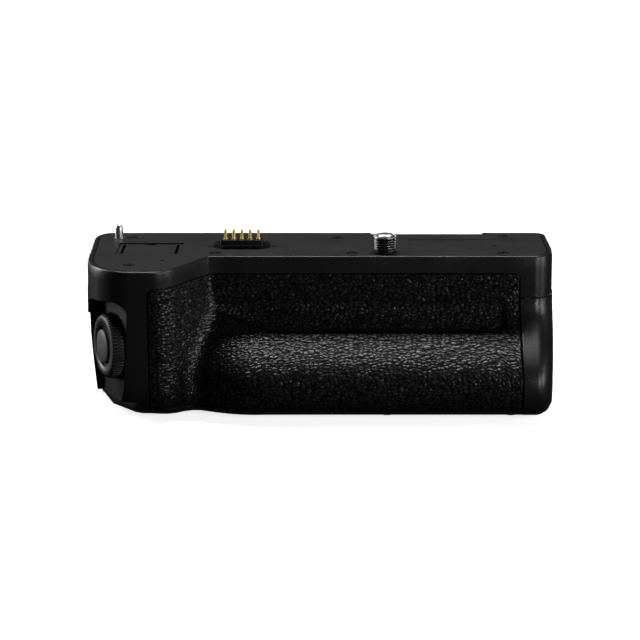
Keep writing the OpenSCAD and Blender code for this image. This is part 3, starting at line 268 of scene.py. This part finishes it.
def leather(name):
    """Pebbled covering: the mesh carries the pebbles, the material their sheen and pores. Where the
    mesh's pebble value is low, in the furrows, along the crease and at the rolled edges, the colour
    is darker and the specular weaker: painted shade.
    """
    made, tree, shader = new_material(name)
    at = coords(tree)
    pebble = mesh_values(tree, "pebble")
    pores = noise(tree, at, 0.28, 3, 0.65)
    cloud = noise(tree, at, 9, 3)
    # The colour mixes a tone that varies at random with painted shade, darker where the pebble value
    # is low.
    tone_and_furrow_shade = tree.nodes.new("ShaderNodeMath")
    tone_and_furrow_shade.operation = "MULTIPLY_ADD"
    tree.links.new(cloud, tone_and_furrow_shade.inputs[0])
    tone_and_furrow_shade.inputs[1].default_value = 0.3
    tree.links.new(pebble, tone_and_furrow_shade.inputs[2])
    colour = ramp(tree, tone_and_furrow_shade.outputs[0], grey(0.002), grey(0.012, 0.02), 0.25, 1.0)
    tree.links.new(colour, shader.inputs["Base Color"])
    tree.links.new(span(tree, tone_and_furrow_shade.outputs[0], 0.44, 0.3), shader.inputs["Roughness"])
    # Painted shade: weaker specular where the pebble value is low, in the furrows, along the crease
    # and at the rolled edges.
    tree.links.new(span(tree, pebble, 0.11, 0.65), shader.inputs["Specular IOR Level"])
    bump(tree, shader, pores, 0.035)
    return made


def thread_steel(name):
    """Steel thread: lighter crests and grooves painted near black as shade, which the mesh marks."""
    made, tree, shader = new_material(name, Metallic=1.0)
    crest = mesh_values(tree, "crest")
    # Painted shade: the colour is near black down in the grooves and lighter on the crests.
    colour = ramp(tree, crest, grey(0.006), grey(0.28), 0.4, 0.95)
    tree.links.new(colour, shader.inputs["Base Color"])
    marks = noise(tree, coords(tree), 0.9, 2)
    tree.links.new(span(tree, marks, 0.24, 0.36), shader.inputs["Roughness"])
    return made


def board(name):
    """Circuit board: solder mask over faint tracks."""
    made, tree, shader = new_material(name, Roughness=0.35)
    tracks = tree.nodes.new("ShaderNodeTexBrick")
    tracks.inputs["Scale"].default_value = 420
    tracks.inputs["Color1"].default_value = (0.006, 0.05, 0.022, 1)
    tracks.inputs["Color2"].default_value = (0.008, 0.065, 0.028, 1)
    tracks.inputs["Mortar"].default_value = (0.02, 0.11, 0.05, 1)
    tree.links.new(coords(tree), tracks.inputs["Vector"])
    tree.links.new(tracks.outputs["Color"], shader.inputs["Base Color"])
    bump(tree, shader, tracks.outputs["Fac"], 0.02)
    return made


ORANGE = ((0.62, 0.13, 0.012), (0.78, 0.19, 0.02))
FINISH = {
    "case": moulded("moulded_black", tones(0.007), 0.33, grain_mm=0.4, depth_mm=0.05),
    "plate": moulded("plate_grey", tones(0.011, 0.12), 0.55, grain_mm=0.28, depth_mm=0.016,
                     Specular_IOR_Level=0.25),
    "covering": leather("pebbled_covering"),
    "gloss": moulded("gloss_black", tones(0.006), 0.14, grain_mm=0.6, depth_mm=0.002,
                     Coat_Weight=0.5),
    "control": moulded("satin_black", tones(0.009), 0.4, grain_mm=0.25, depth_mm=0.01),
    "shutter": moulded("satin_grey", tones(0.06), 0.5, grain_mm=0.2, depth_mm=0.006),
    "steel": metal("turned_steel", (0.66, 0.66, 0.67), 0.32),
    "dark_screw": moulded("blackened_steel", tones(0.004), 0.45, grain_mm=0.2, depth_mm=0.01,
                          Specular_IOR_Level=0.15),
    "contact": metal("gold_plate", (1.0, 0.77, 0.27), 0.42),
    "alloy": metal("bare_alloy", (0.55, 0.56, 0.58), 0.34),
    "gear": moulded("acetal", tones(0.62, 0.08), 0.4, grain_mm=0.3, depth_mm=0.01),
    "board": board("circuit_board"),
    "catch": moulded("catch_orange", ORANGE, 0.4),
    "inner": moulded("inner_black", tones(0.008), 0.4, Specular_IOR_Level=0.35),
    "seal": moulded("soft_rubber", tones(0.003), 0.5, grain_mm=0.18, depth_mm=0.02,
                    Specular_IOR_Level=0.1),
}


# Mesh helpers

def add_mesh(name, points, faces, finish, body, stands_for=()):
    """A new piece from points in millimetres, riding on a body."""
    mesh = bpy.data.meshes.new(name)
    mesh.from_pydata([tuple(p) for p in np.asarray(points, float) * MM], [], faces)
    mesh.update()
    piece = bpy.data.objects.new(name, mesh)
    bpy.context.scene.collection.objects.link(piece)
    mesh.materials.append(FINISH[finish])
    mesh.shade_smooth()
    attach(piece, body)
    if stands_for:
        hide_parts(*stands_for)
    return piece


def mark_points(piece, name, values):
    """Stores a number for each of a piece's points, for its material to read."""
    layer = piece.data.attributes.new(name, "FLOAT", "POINT")
    layer.data.foreach_set("value", values.astype(np.float32))


def grid_faces(rows, columns, wrap=False, flip=False):
    """Quads of a grid of points stored row by row; wrap joins the last column to the first."""
    faces = []
    for j in range(rows - 1):
        for k in range(columns if wrap else columns - 1):
            a = j * columns + k
            b = j * columns + (k + 1) % columns
            quad = (a, b, b + columns, a + columns)
            faces.append(quad[::-1] if flip else quad)
    return faces


# Shading of the solids

def geometry_group(name):
    """An empty group of geometry nodes, with its way in and its way out."""
    made = bpy.data.node_groups.new(name, "GeometryNodeTree")
    made.interface.new_socket("Geometry", in_out="INPUT", socket_type="NodeSocketGeometry")
    made.interface.new_socket("Geometry", in_out="OUTPUT", socket_type="NodeSocketGeometry")
    start = made.nodes.new("NodeGroupInput")
    end = made.nodes.new("NodeGroupOutput")
    return made, start.outputs[0], end.inputs[0]


def smooth_group():
    """Geometry nodes that smooth the faces and keep sharp edges crisp."""
    made, start, end = geometry_group("smooth_by_angle")
    faces = made.nodes.new("GeometryNodeSetShadeSmooth")
    edges = made.nodes.new("GeometryNodeSetShadeSmooth")
    edges.domain = "EDGE"
    edges.inputs["Shade Smooth"].default_value = False
    angle = made.nodes.new("GeometryNodeInputMeshEdgeAngle")
    sharp = made.nodes.new("FunctionNodeCompare")
    sharp.operation = "GREATER_THAN"
    sharp.inputs["B"].default_value = CRISP_ANGLE
    made.links.new(start, faces.inputs["Geometry"])
    made.links.new(faces.outputs[0], edges.inputs["Geometry"])
    made.links.new(angle.outputs["Unsigned Angle"], sharp.inputs["A"])
    made.links.new(sharp.outputs[0], edges.inputs["Selection"])
    made.links.new(edges.outputs[0], end)
    return made


def close_sliver_group():
    """Geometry nodes that press a thin edge below the button panel shut."""
    made, start, end = geometry_group("close_sliver")
    far = made.nodes.new("ShaderNodeVectorMath")
    far.operation = "DISTANCE"
    far.inputs[1].default_value = tuple(v * MM for v in SLIVER_AT)
    place = made.nodes.new("GeometryNodeInputPosition")
    made.links.new(place.outputs[0], far.inputs[0])
    near = made.nodes.new("FunctionNodeCompare")
    near.operation = "LESS_THAN"
    near.inputs["B"].default_value = SLIVER_REACH * MM
    made.links.new(far.outputs["Value"], near.inputs["A"])
    join = made.nodes.new("GeometryNodeMergeByDistance")
    join.inputs["Distance"].default_value = SLIVER_WIDTH * MM
    made.links.new(start, join.inputs["Geometry"])
    made.links.new(near.outputs[0], join.inputs["Selection"])
    made.links.new(join.outputs[0], end)
    return made


SMOOTH = smooth_group()


def dress(node, finish):
    """Welds a solid's facets for shading, smooths it by angle and gives it its finish."""
    solid = nodes[node]
    weld = solid.modifiers.new("weld", "WELD")
    weld.merge_threshold = WELD_MM * MM
    if node == "front_case":
        solid.modifiers.new("close_sliver", "NODES").node_group = close_sliver_group()
    solid.modifiers.new("smooth", "NODES").node_group = SMOOTH
    solid.data.materials.clear()
    solid.data.materials.append(FINISH[finish])


for entry in frame["record"]["subparts"]:
    dress(entry["node"], entry["material_slot"])


# Surface of the hand grip, as in the part

def ease(t):
    """Rises softly from 0 to 1 while t does."""
    t = np.clip(t, 0, 1)
    return t * t * (3 - 2 * t)


def mix(a, b, t):
    return a + (b - a) * t


def soft_min(a, b, k):
    """The smaller of two, blended where they differ by less than k."""
    h = np.clip(0.5 + 0.5 * (b - a) / k, 0, 1)
    return mix(b, a, h) - k * h * (1 - h)


def soft_ramp(d, k):
    """0 below 0 and d above it, with a soft bend over k to each side."""
    return np.where(d <= -k, 0, np.where(d >= k, d, (d + k) ** 2 / (4 * k)))


def edge_in(h, r):
    """How far a rounding of radius r lies in at distance h from its edge."""
    return np.where(h >= r, 0, r - np.sqrt(np.maximum(0, r * r - (r - np.minimum(h, r)) ** 2)))


def column_y(x, z):
    t = np.clip((z - BASE) / (SEAT - BASE), 0, 1)
    flank = mix(FLANK_LOW, FLANK_TOP, t) * soft_ramp(x - FLANK_X, FLANK_SOFT)
    return -mix(COLUMN_LOW, COLUMN_TOP, t) + flank


def palm_y(x, z):
    swell = ease((x - PALM_LEFT) / PALM_RUN) * ease((PALM_TOP - z) / (PALM_TOP - PALM_FULL))
    return -BAND_FRONT - PALM_DEPTH * swell


def crease(x):
    """Height of the crease under the finger recess."""
    sweep = CREASE_SWEEP * np.maximum(0, CREASE_BEND_X - np.maximum(x, CREASE_LEFT)) ** 2
    return CREASE_H + sweep + edge_in(np.maximum(0, RECESS_RIGHT - x), RECESS_CORNER)


def recess_in(x, z):
    """The finger recess: deepest at its crease, and pressed a little further in than the solid's."""
    top = np.clip((RECESS_TOP - z) / (RECESS_TOP - crease(x)), 0, 1) ** RECESS_POWER
    rise = ease((z - crease(x) + RECESS_LIP) / RECESS_LIP)
    left = ease((x - RECESS_LEFT) / RECESS_FADE)
    right = ease((RECESS_RIGHT - x) / RECESS_END)
    return RECESS_DEPTH * left * right * top * rise


def crease_line(x, z):
    """1 along the crease under the finger recess, fading out at its left end. The covering is pressed
    in there and painted dark as shade.
    """
    near = np.exp(-((z - crease(x) + SEAM_DROP) / SEAM_WIDTH) ** 2)
    return near * ease((x - SEAM_LEFT) / RECESS_FADE) * ease((RECESS_RIGHT - x) / SEAM_END)


def front_edge(x):
    """Radius of the rounding along the lower front edge."""
    column = mix(EDGE_LEFT, EDGE_MIDDLE, ease((x - EDGE_FROM_X) / EDGE_LEFT_RUN))
    palm = mix(EDGE_MIDDLE, EDGE_RIGHT, ease((x - EDGE_BEND_X) / EDGE_RIGHT_RUN))
    return np.where(x < EDGE_BEND_X, column, palm)


def grip_y(x, z):
    """Front of the grip at X and at height z above the table."""
    blend = mix(BLEND_LOW, BLEND_HIGH, ease((z - BLEND_FROM) / BLEND_RUN))
    front = soft_min(column_y(x, z), palm_y(x, z), blend)
    return front + recess_in(x, z) + edge_in(z - BASE, front_edge(x))


# Pebbled coverings

def hashed(ix, iy, seed):
    """Repeatable random numbers from 0 to 1 for integer cells."""
    n = (ix * 374761393 + iy * 668265263 + seed * 974634777) & 0xFFFFFFFF
    n = ((n ^ (n >> 13)) * 1274126177) & 0xFFFFFFFF
    return ((n ^ (n >> 16)) & 0xFFFF) / 65535


def value_noise(u, v, seed):
    """Smooth noise from 0 to 1 on the plane."""
    iu, iv = np.floor(u).astype(np.int64), np.floor(v).astype(np.int64)
    fu, fv = ease(u - iu), ease(v - iv)
    low = mix(hashed(iu, iv, seed), hashed(iu + 1, iv, seed), fu)
    high = mix(hashed(iu, iv + 1, seed), hashed(iu + 1, iv + 1, seed), fu)
    return mix(low, high, fv)


def pebbles(u, v, cell):
    """Leather pebbles: rounded cells of uneven size, parted by winding furrows. 0 furrow, 1 crown."""
    bend = PEBBLE_BEND * cell
    wu = u + bend * 2 * (value_noise(u / BEND_SIZE, v / BEND_SIZE, 3) - 0.5)
    wv = v + bend * 2 * (value_noise(u / BEND_SIZE + 40, v / BEND_SIZE, 5) - 0.5)
    pu, pv = wu / (cell * PEBBLE_STRETCH), wv / cell
    iu, iv = np.floor(pu).astype(np.int64), np.floor(pv).astype(np.int64)
    near = np.full(pu.shape, 9.0)
    second = np.full(pu.shape, 9.0)
    crown = np.zeros(pu.shape)
    for du in (-1, 0, 1):
        for dv in (-1, 0, 1):
            cu, cv = iu + du, iv + dv
            x = cu + 0.1 + 0.8 * hashed(cu, cv, 11)
            y = cv + 0.1 + 0.8 * hashed(cu, cv, 17)
            d = np.hypot(pu - x, pv - y)
            closer = d < near
            second = np.where(closer, near, np.minimum(second, d))
            crown = np.where(closer, hashed(cu, cv, 23), crown)
            near = np.where(closer, d, near)
    furrow = ease((second - near) / 0.7)
    dome = 1 - np.clip(near / 0.8, 0, 1) ** 2
    return (0.5 * furrow + 0.5 * dome) * (0.5 + 0.5 * crown)


def drape(xs, low, high, surface):
    """Lays a grid over surface(x, z) between low(x) and high(x), in even steps up each column.
    Also gives each point's way along the surface from the top edge."""
    fine = np.linspace(0, 1, 400)
    paths = []
    for x in xs:
        z = mix(low(x), high(x), fine)
        y = surface(np.full_like(z, x), z)
        run = np.concatenate([[0], np.cumsum(np.hypot(np.diff(y), np.diff(z)))])
        paths.append((x, y, z, run))
    rows = max(int(run[-1] / GRAIN_STEP) + 2 for x, y, z, run in paths)
    share = np.linspace(0, 1, rows)
    at = np.zeros((rows, len(xs), 3))
    along = np.zeros((rows, len(xs)))
    for k, (x, y, z, run) in enumerate(paths):
        s = share * run[-1]
        at[:, k, 0] = x
        at[:, k, 1] = np.interp(s, run, y)
        at[:, k, 2] = np.interp(s, run, z)
        along[:, k] = run[-1] - s
    return at, along


def outward_normals(at, inward):
    """Unit normals of a grid of points, away from the body."""
    normal = np.cross(np.gradient(at, axis=1), np.gradient(at, axis=0))
    normal /= np.linalg.norm(normal, axis=2, keepdims=True)
    return -normal if (normal[..., 1] * inward).mean() > 0 else normal


def grid_rim(rows, columns):
    """Numbers of the points round a grid's edge, in order."""
    rim = list(range(columns))
    rim += [j * columns + columns - 1 for j in range(1, rows)]
    rim += [(rows - 1) * columns + k for k in range(columns - 2, -1, -1)]
    rim += [j * columns for j in range(rows - 2, 0, -1)]
    return rim


def rim_wall(rim, first, inward):
    """Quads from a grid's rim to the same number of points behind it, which begin at first."""
    faces = []
    for i, a in enumerate(rim):
        after = (i + 1) % len(rim)
        quad = (a, first + i, first + after, rim[after])
        faces.append(quad if inward > 0 else quad[::-1])
    return faces


def covering(name, xs, low, high, surface, inward, stands_for, relief, seam=None):
    """A covering over surface(x, z) between low(x) and high(x), grained and rolled in at its edges.
    inward is the direction into the body along Y; seam(x, z) is 1 along a pressed-in line, which is
    also painted dark as shade. The stored pebble values fall to 0 there, at the rolled edges and in
    the furrows, and the material darkens them as painted shade."""
    at, along = drape(xs, low, high, surface)
    rows, columns = along.shape
    normal = outward_normals(at, inward)
    across = at[..., 0]
    stretch = np.linalg.norm(np.diff(at, axis=1), axis=2).mean(axis=0)
    around = np.concatenate([[0], np.cumsum(stretch)])
    height = pebbles(np.broadcast_to(around, along.shape), along, PEBBLE)
    # Along the seam the grain goes to 0: the surface sinks and is painted dark as shade.
    if seam is not None:
        height *= 1 - seam(across, at[..., 2])
    tail = along[0][None, :] - along
    edge = np.minimum(np.minimum(along, tail), np.minimum(across - xs[0], xs[-1] - across))
    sink = ROLL_SINK * np.maximum(0, 1 - edge / ROLL) ** 2
    grain = height * ease(edge / ROLL)
    at += normal * ((grain - GRAIN_LEVEL) * relief - sink)[..., None]
    at[..., 2] -= SEAT
    points = at.reshape(-1, 3)
    rim = grid_rim(rows, columns)
    back = points[rim] + np.array([0, inward * ROLL_BACK, 0])
    faces = grid_faces(rows, columns, flip=inward < 0) + rim_wall(rim, len(points), inward)
    piece = add_mesh(name, np.concatenate([points, back]), faces, "covering", "housing", stands_for)
    # The material paints shade where these values are low: furrows, the seam and the rolled edges.
    mark_points(piece, "pebble", np.concatenate([grain.ravel(), np.zeros(len(rim))]))


def cover_low(x):
    return COVER_LOW


def cover_top(x):
    side = max(0.0, min(x - COVER_LEFT, COVER_RIGHT - x))
    return COVER_HIGH - float(edge_in(np.float64(side), COVER_CORNER))


def thumb_half(x):
    """Half the thumb rest's height at X, less at its rounded corners."""
    side = max(0.0, THUMB_SIZE[0] / 2 - abs(x - THUMB_AT[0]))
    return THUMB_SIZE[1] / 2 - float(edge_in(np.float64(side), THUMB_CORNER))


def thumb_low(x):
    return THUMB_AT[1] - thumb_half(x)


def thumb_top(x):
    return THUMB_AT[1] + thumb_half(x)


def thumb_y(x, z):
    return THUMB_CROWN - THUMB_R + np.sqrt(THUMB_R**2 - (x - THUMB_AT[0]) ** 2)


def even_steps(left, right):
    """X places from left to right, about a grain step apart."""
    return np.linspace(left, right, int((right - left) / GRAIN_STEP))


covering("front_covering", even_steps(COVER_LEFT, COVER_RIGHT), cover_low, cover_top, grip_y, 1,
         ("front_grip_cover",), FRONT_RELIEF, crease_line)
thumb_left, thumb_right = (THUMB_AT[0] + side * THUMB_SIZE[0] / 2 for side in (-1, 1))
covering("thumb_covering", even_steps(thumb_left, thumb_right), thumb_low, thumb_top, thumb_y, -1,
         ("thumb_rest",), THUMB_RELIEF)


# Turned pieces

def lathe(profile, turns, swell=None):
    """Points and faces of a turned shape: profile is [(radius, height)], from the bottom up.
    swell(angle, radius, height) may change the radius."""
    angles = np.linspace(0, FULL_TURN, turns, endpoint=False)
    points = []
    for r, h in profile:
        reach = r if swell is None else swell(angles, r, h)
        ring = [reach * np.cos(angles), reach * np.sin(angles), np.full(turns, h)]
        points.append(np.stack(ring, axis=1))
    return np.concatenate(points), grid_faces(len(profile), turns, wrap=True)


# Ribbed dial

def deck_place(points):
    """From the dial's own axes (X forward, Y up, Z out of the deck) to the part's frame."""
    forward = np.array([math.sin(DECK_ANGLE), -math.cos(DECK_ANGLE), 0])
    out = np.array([-math.cos(DECK_ANGLE), -math.sin(DECK_ANGLE), 0])
    p = np.asarray(points)
    return np.array(DIAL_AT) + p[:, :1] * forward + p[:, 1:2] * [0, 0, 1] + p[:, 2:] * out


def dial_ribs(angle, r, h):
    """Rounded grooves across the dial's side, fading out at its shoulder."""
    depth = RIB_DEPTH * float(ease((DIAL_H - 0.35 - h) / 0.5)) * (r > DIAL_R - 1)
    wave = np.cos(angle * DIAL_RIBS)
    return r - depth * ease((0.35 - wave) / 0.9)


def ribbed_dial():
    """The dial's ring, from its bore under the foot, up the ribbed side and over the face."""
    profile = [
        (DIAL_BORE, DIAL_H - 0.55), (DIAL_BORE, DIAL_FOOT), (DIAL_R - 0.5, DIAL_FOOT),
        (DIAL_R - 0.02, DIAL_FOOT + 0.02), (DIAL_R, 0.6), (DIAL_R - 0.05, 1.2),
        (DIAL_R - 0.22, 2.2), (DIAL_R - 0.36, DIAL_H - 0.75), (DIAL_R - 0.5, DIAL_H - 0.62),
        (DIAL_R - 0.62, DIAL_H - 0.5), (DIAL_R - 1.0, DIAL_H - 0.08), (DIAL_R - 1.3, DIAL_H),
        (SHUTTER_R + 1.05, DIAL_H), (SHUTTER_R + 0.9, DIAL_H - 0.2), (DIAL_BORE, DIAL_H - 0.55),
    ]
    points, faces = lathe(profile, DIAL_RIBS * RIB_POINTS, dial_ribs)
    add_mesh("ribbed_dial", deck_place(points), faces, "control", "front_dial", ("front_dial",))


ribbed_dial()


# Camera screw with its thread

def thread_radius(angle, radius, height):
    """Radius of the thread, with rounded flanks between narrow crests, and of the neck below it."""
    if height < THREAD_LOW or height > THREAD_TOP:
        return np.full_like(angle, radius)
    turn = (height / SCREW_PITCH - angle / FULL_TURN) % 1.0
    groove = ease((np.abs(turn - 0.5) * 2 - 0.15) / 0.7)
    return radius - THREAD_DEPTH * groove


def screw_shank():
    steps = int((THREAD_TOP - THREAD_LOW) / SCREW_PITCH * THREAD_RINGS)
    profile = [(THREAD_R - 0.1, h) for h in (SCREW_ROOT, 0.0, THREAD_LOW - 0.05)]
    profile += [(THREAD_R, h) for h in np.linspace(THREAD_LOW, THREAD_TOP, steps)]
    profile.append((THREAD_R - 0.3, THREAD_TOP + 0.02))
    points, faces = lathe(profile, SCREW_TURNS, thread_radius)
    shank = add_mesh("screw_shank", points, faces, "steel", "camera_screw")
    shank.data.materials[0] = thread_steel("thread_steel")
    reach = np.hypot(points[:, 0], points[:, 1])
    # The crest value sets the painted shade of the thread's grooves.
    mark_points(shank, "crest", 1 - (THREAD_R - reach) / THREAD_DEPTH)


def screw_cap():
    """The bright end of the screw: a narrow rim and a cone with a flat top."""
    profile = [(2.75, 0.02), (SCREW_R - 0.08, 0.06), (SCREW_R, 0.16), (SCREW_R - 0.04, 0.26),
               (2.3, 0.98), (2.1, 1.07), (1.7, 1.1), (0.02, 1.12)]
    points, faces = lathe([(r, THREAD_TOP + h) for r, h in profile], SCREW_TURNS)
    add_mesh("threaded_screw", points, faces, "steel", "camera_screw", ("camera_screw",))


def screw_collar():
    """The soft ring round the foot of the screw."""
    profile = [(COLLAR_IN, 0.02), (COLLAR_OUT - 0.06, 0.02), (COLLAR_OUT, 0.12), (COLLAR_OUT, 0.8),
               (COLLAR_OUT - 0.16, COLLAR_H - 0.02), (COLLAR_IN, COLLAR_H)]
    points, faces = lathe(profile, COLLAR_TURNS)
    add_mesh("screw_collar", points, faces, "seal", "camera_screw")


screw_shank()
screw_cap()
screw_collar()


# Cross-recessed screw heads

def cross_head(turn):
    """A round pan head as a grid: X, Y and the drop below its crown. turn is the cross's angle."""
    steps = np.linspace(-HEAD_R, HEAD_R, HEAD_POINTS)
    gx, gy = np.meshgrid(steps, steps)
    r = np.hypot(gx, gy)
    reach = np.maximum(np.abs(gx), np.abs(gy))
    squeeze = np.where(r > 1e-9, reach / np.maximum(r, 1e-9), 1)
    px, py = gx * squeeze, gy * squeeze
    ux = np.abs(px * math.cos(turn) + py * math.sin(turn))
    uy = np.abs(py * math.cos(turn) - px * math.sin(turn))
    slot_a = ease((CROSS_HALF - ux) / CROSS_SIDE) * ease((CROSS_REACH - uy) / CROSS_END)
    slot_b = ease((CROSS_HALF - uy) / CROSS_SIDE) * ease((CROSS_REACH - ux) / CROSS_END)
    rim = ease((np.hypot(px, py) - HEAD_R + HEAD_ROUND) / HEAD_ROUND)
    return px, py, CROSS_DEPTH * np.maximum(slot_a, slot_b) + HEAD_DROP * rim


def screw_heads(name, places, top, outward, stands_for):
    """Pan heads with a cross pressed in. outward is 1 for heads that face up, -1 for down."""
    quads = grid_faces(HEAD_POINTS, HEAD_POINTS, flip=outward < 0)
    points, faces = [], []
    for i, (x, y) in enumerate(places):
        px, py, drop = cross_head(FIRST_TURN + NEXT_TURN * i)
        start = len(points)
        head = np.stack([x + px, y + py, top - outward * drop], axis=2)
        points.extend(head.reshape(-1, 3))
        faces += [tuple(start + corner for corner in quad) for quad in quads]
    add_mesh(name, points, faces, "dark_screw", "housing", stands_for)


screw_heads("plate_screw_heads", PLATE_SCREWS, PLATE_SCREW_TOP, 1, ("top_plate_screws",))
screw_heads("foot_screw_heads", FOOT_SCREWS, FOOT_SCREW_TOP, -1, ("bottom_screws",))


# Stage, light and camera

def floor_finish():
    """A pale, faintly clouded floor that glows, a little less near the part."""
    made, tree, shader = new_material("pale_floor", Roughness=0.9, Emission_Strength=1.0)
    cloud = noise(tree, coords(tree), 400, 2)
    tree.links.new(ramp(tree, cloud, grey(0.80), grey(0.84)), shader.inputs["Base Color"])
    spread = tree.nodes.new("ShaderNodeTexGradient")
    spread.gradient_type = "SPHERICAL"
    tree.links.new(coords(tree, (1.2, 1.2, 1.2)), spread.inputs["Vector"])
    glow = ramp(tree, spread.outputs["Fac"], grey(1.0), grey(0.8), 0.55, 0.9)
    tree.links.new(glow, shader.inputs["Emission Color"])
    return made


def studio_floor():
    """A pale sweep: floor, cove and wall. It is seen, but doesn't throw its own light on the part."""
    profile = [(0.001, 0.0), (FLOOR_R, 0.0)]
    profile += [(FLOOR_R + COVE_R * math.sin(a), COVE_R - COVE_R * math.cos(a))
                for a in np.linspace(0.1, math.pi / 2, 12)]
    profile += [(FLOOR_R + COVE_R, WALL_H)]
    points, faces = lathe(profile, FLOOR_TURNS)
    mesh = bpy.data.meshes.new("studio_floor")
    mesh.from_pydata([(x, y, z - SEAT * MM) for x, y, z in points], [], faces)
    mesh.shade_smooth()
    mesh.materials.append(floor_finish())
    floor = bpy.data.objects.new("studio_floor", mesh)
    bpy.context.scene.collection.objects.link(floor)
    floor.visible_glossy = False
    floor.visible_diffuse = False


def softbox(name, place, size, watts):
    """A rectangular area light at a place in millimetres, aimed at the part's middle."""
    light = bpy.data.lights.new(name, "AREA")
    light.shape = "RECTANGLE"
    light.size, light.size_y = size[0] * MM, size[1] * MM
    light.energy = watts
    lamp = bpy.data.objects.new(name, light)
    lamp.location = Vector(place) * MM
    away = (Vector(MIDDLE) - Vector(place)).normalized()
    lamp.rotation_euler = away.to_track_quat("-Z", "Y").to_euler()
    lamp.visible_camera = False
    bpy.context.scene.collection.objects.link(lamp)


def studio_air():
    """A faint glow from the front and below, as a pale table throws back."""
    world = bpy.data.worlds.new("studio_air")
    world.use_nodes = True
    air = world.node_tree
    toward = air.nodes.new("ShaderNodeVectorMath")
    toward.operation = "DOT_PRODUCT"
    toward.inputs[1].default_value = GLOW_FROM
    air.links.new(air.nodes.new("ShaderNodeTexCoord").outputs["Generated"], toward.inputs[0])
    glow = ramp(air, toward.outputs["Value"], grey(GLOW_LOW), grey(GLOW_HIGH), 0.3, 0.95)
    air.links.new(glow, air.nodes["Background"].inputs["Color"])
    bpy.context.scene.world = world


def place_camera():
    """The photograph's view: straight ahead of the part and a little above it."""
    lens = bpy.data.cameras.new("camera")
    lens.sensor_width = SENSOR
    lens.lens = FOCAL_LENGTH
    camera = bpy.data.objects.new("camera", lens)
    away = Vector((0, -math.cos(CAMERA_ELEVATION), math.sin(CAMERA_ELEVATION)))
    camera.location = (Vector(CAMERA_AIM) + CAMERA_DISTANCE * away) * MM
    camera.rotation_euler = (math.pi / 2 - CAMERA_ELEVATION, 0, 0)
    bpy.context.scene.collection.objects.link(camera)
    bpy.context.scene.camera = camera


studio_floor()
for light_name, (light_place, light_size, light_watts) in LIGHTS.items():
    softbox(light_name, light_place, light_size, light_watts)
studio_air()
place_camera()
bpy.context.scene.view_settings.view_transform = "Standard"
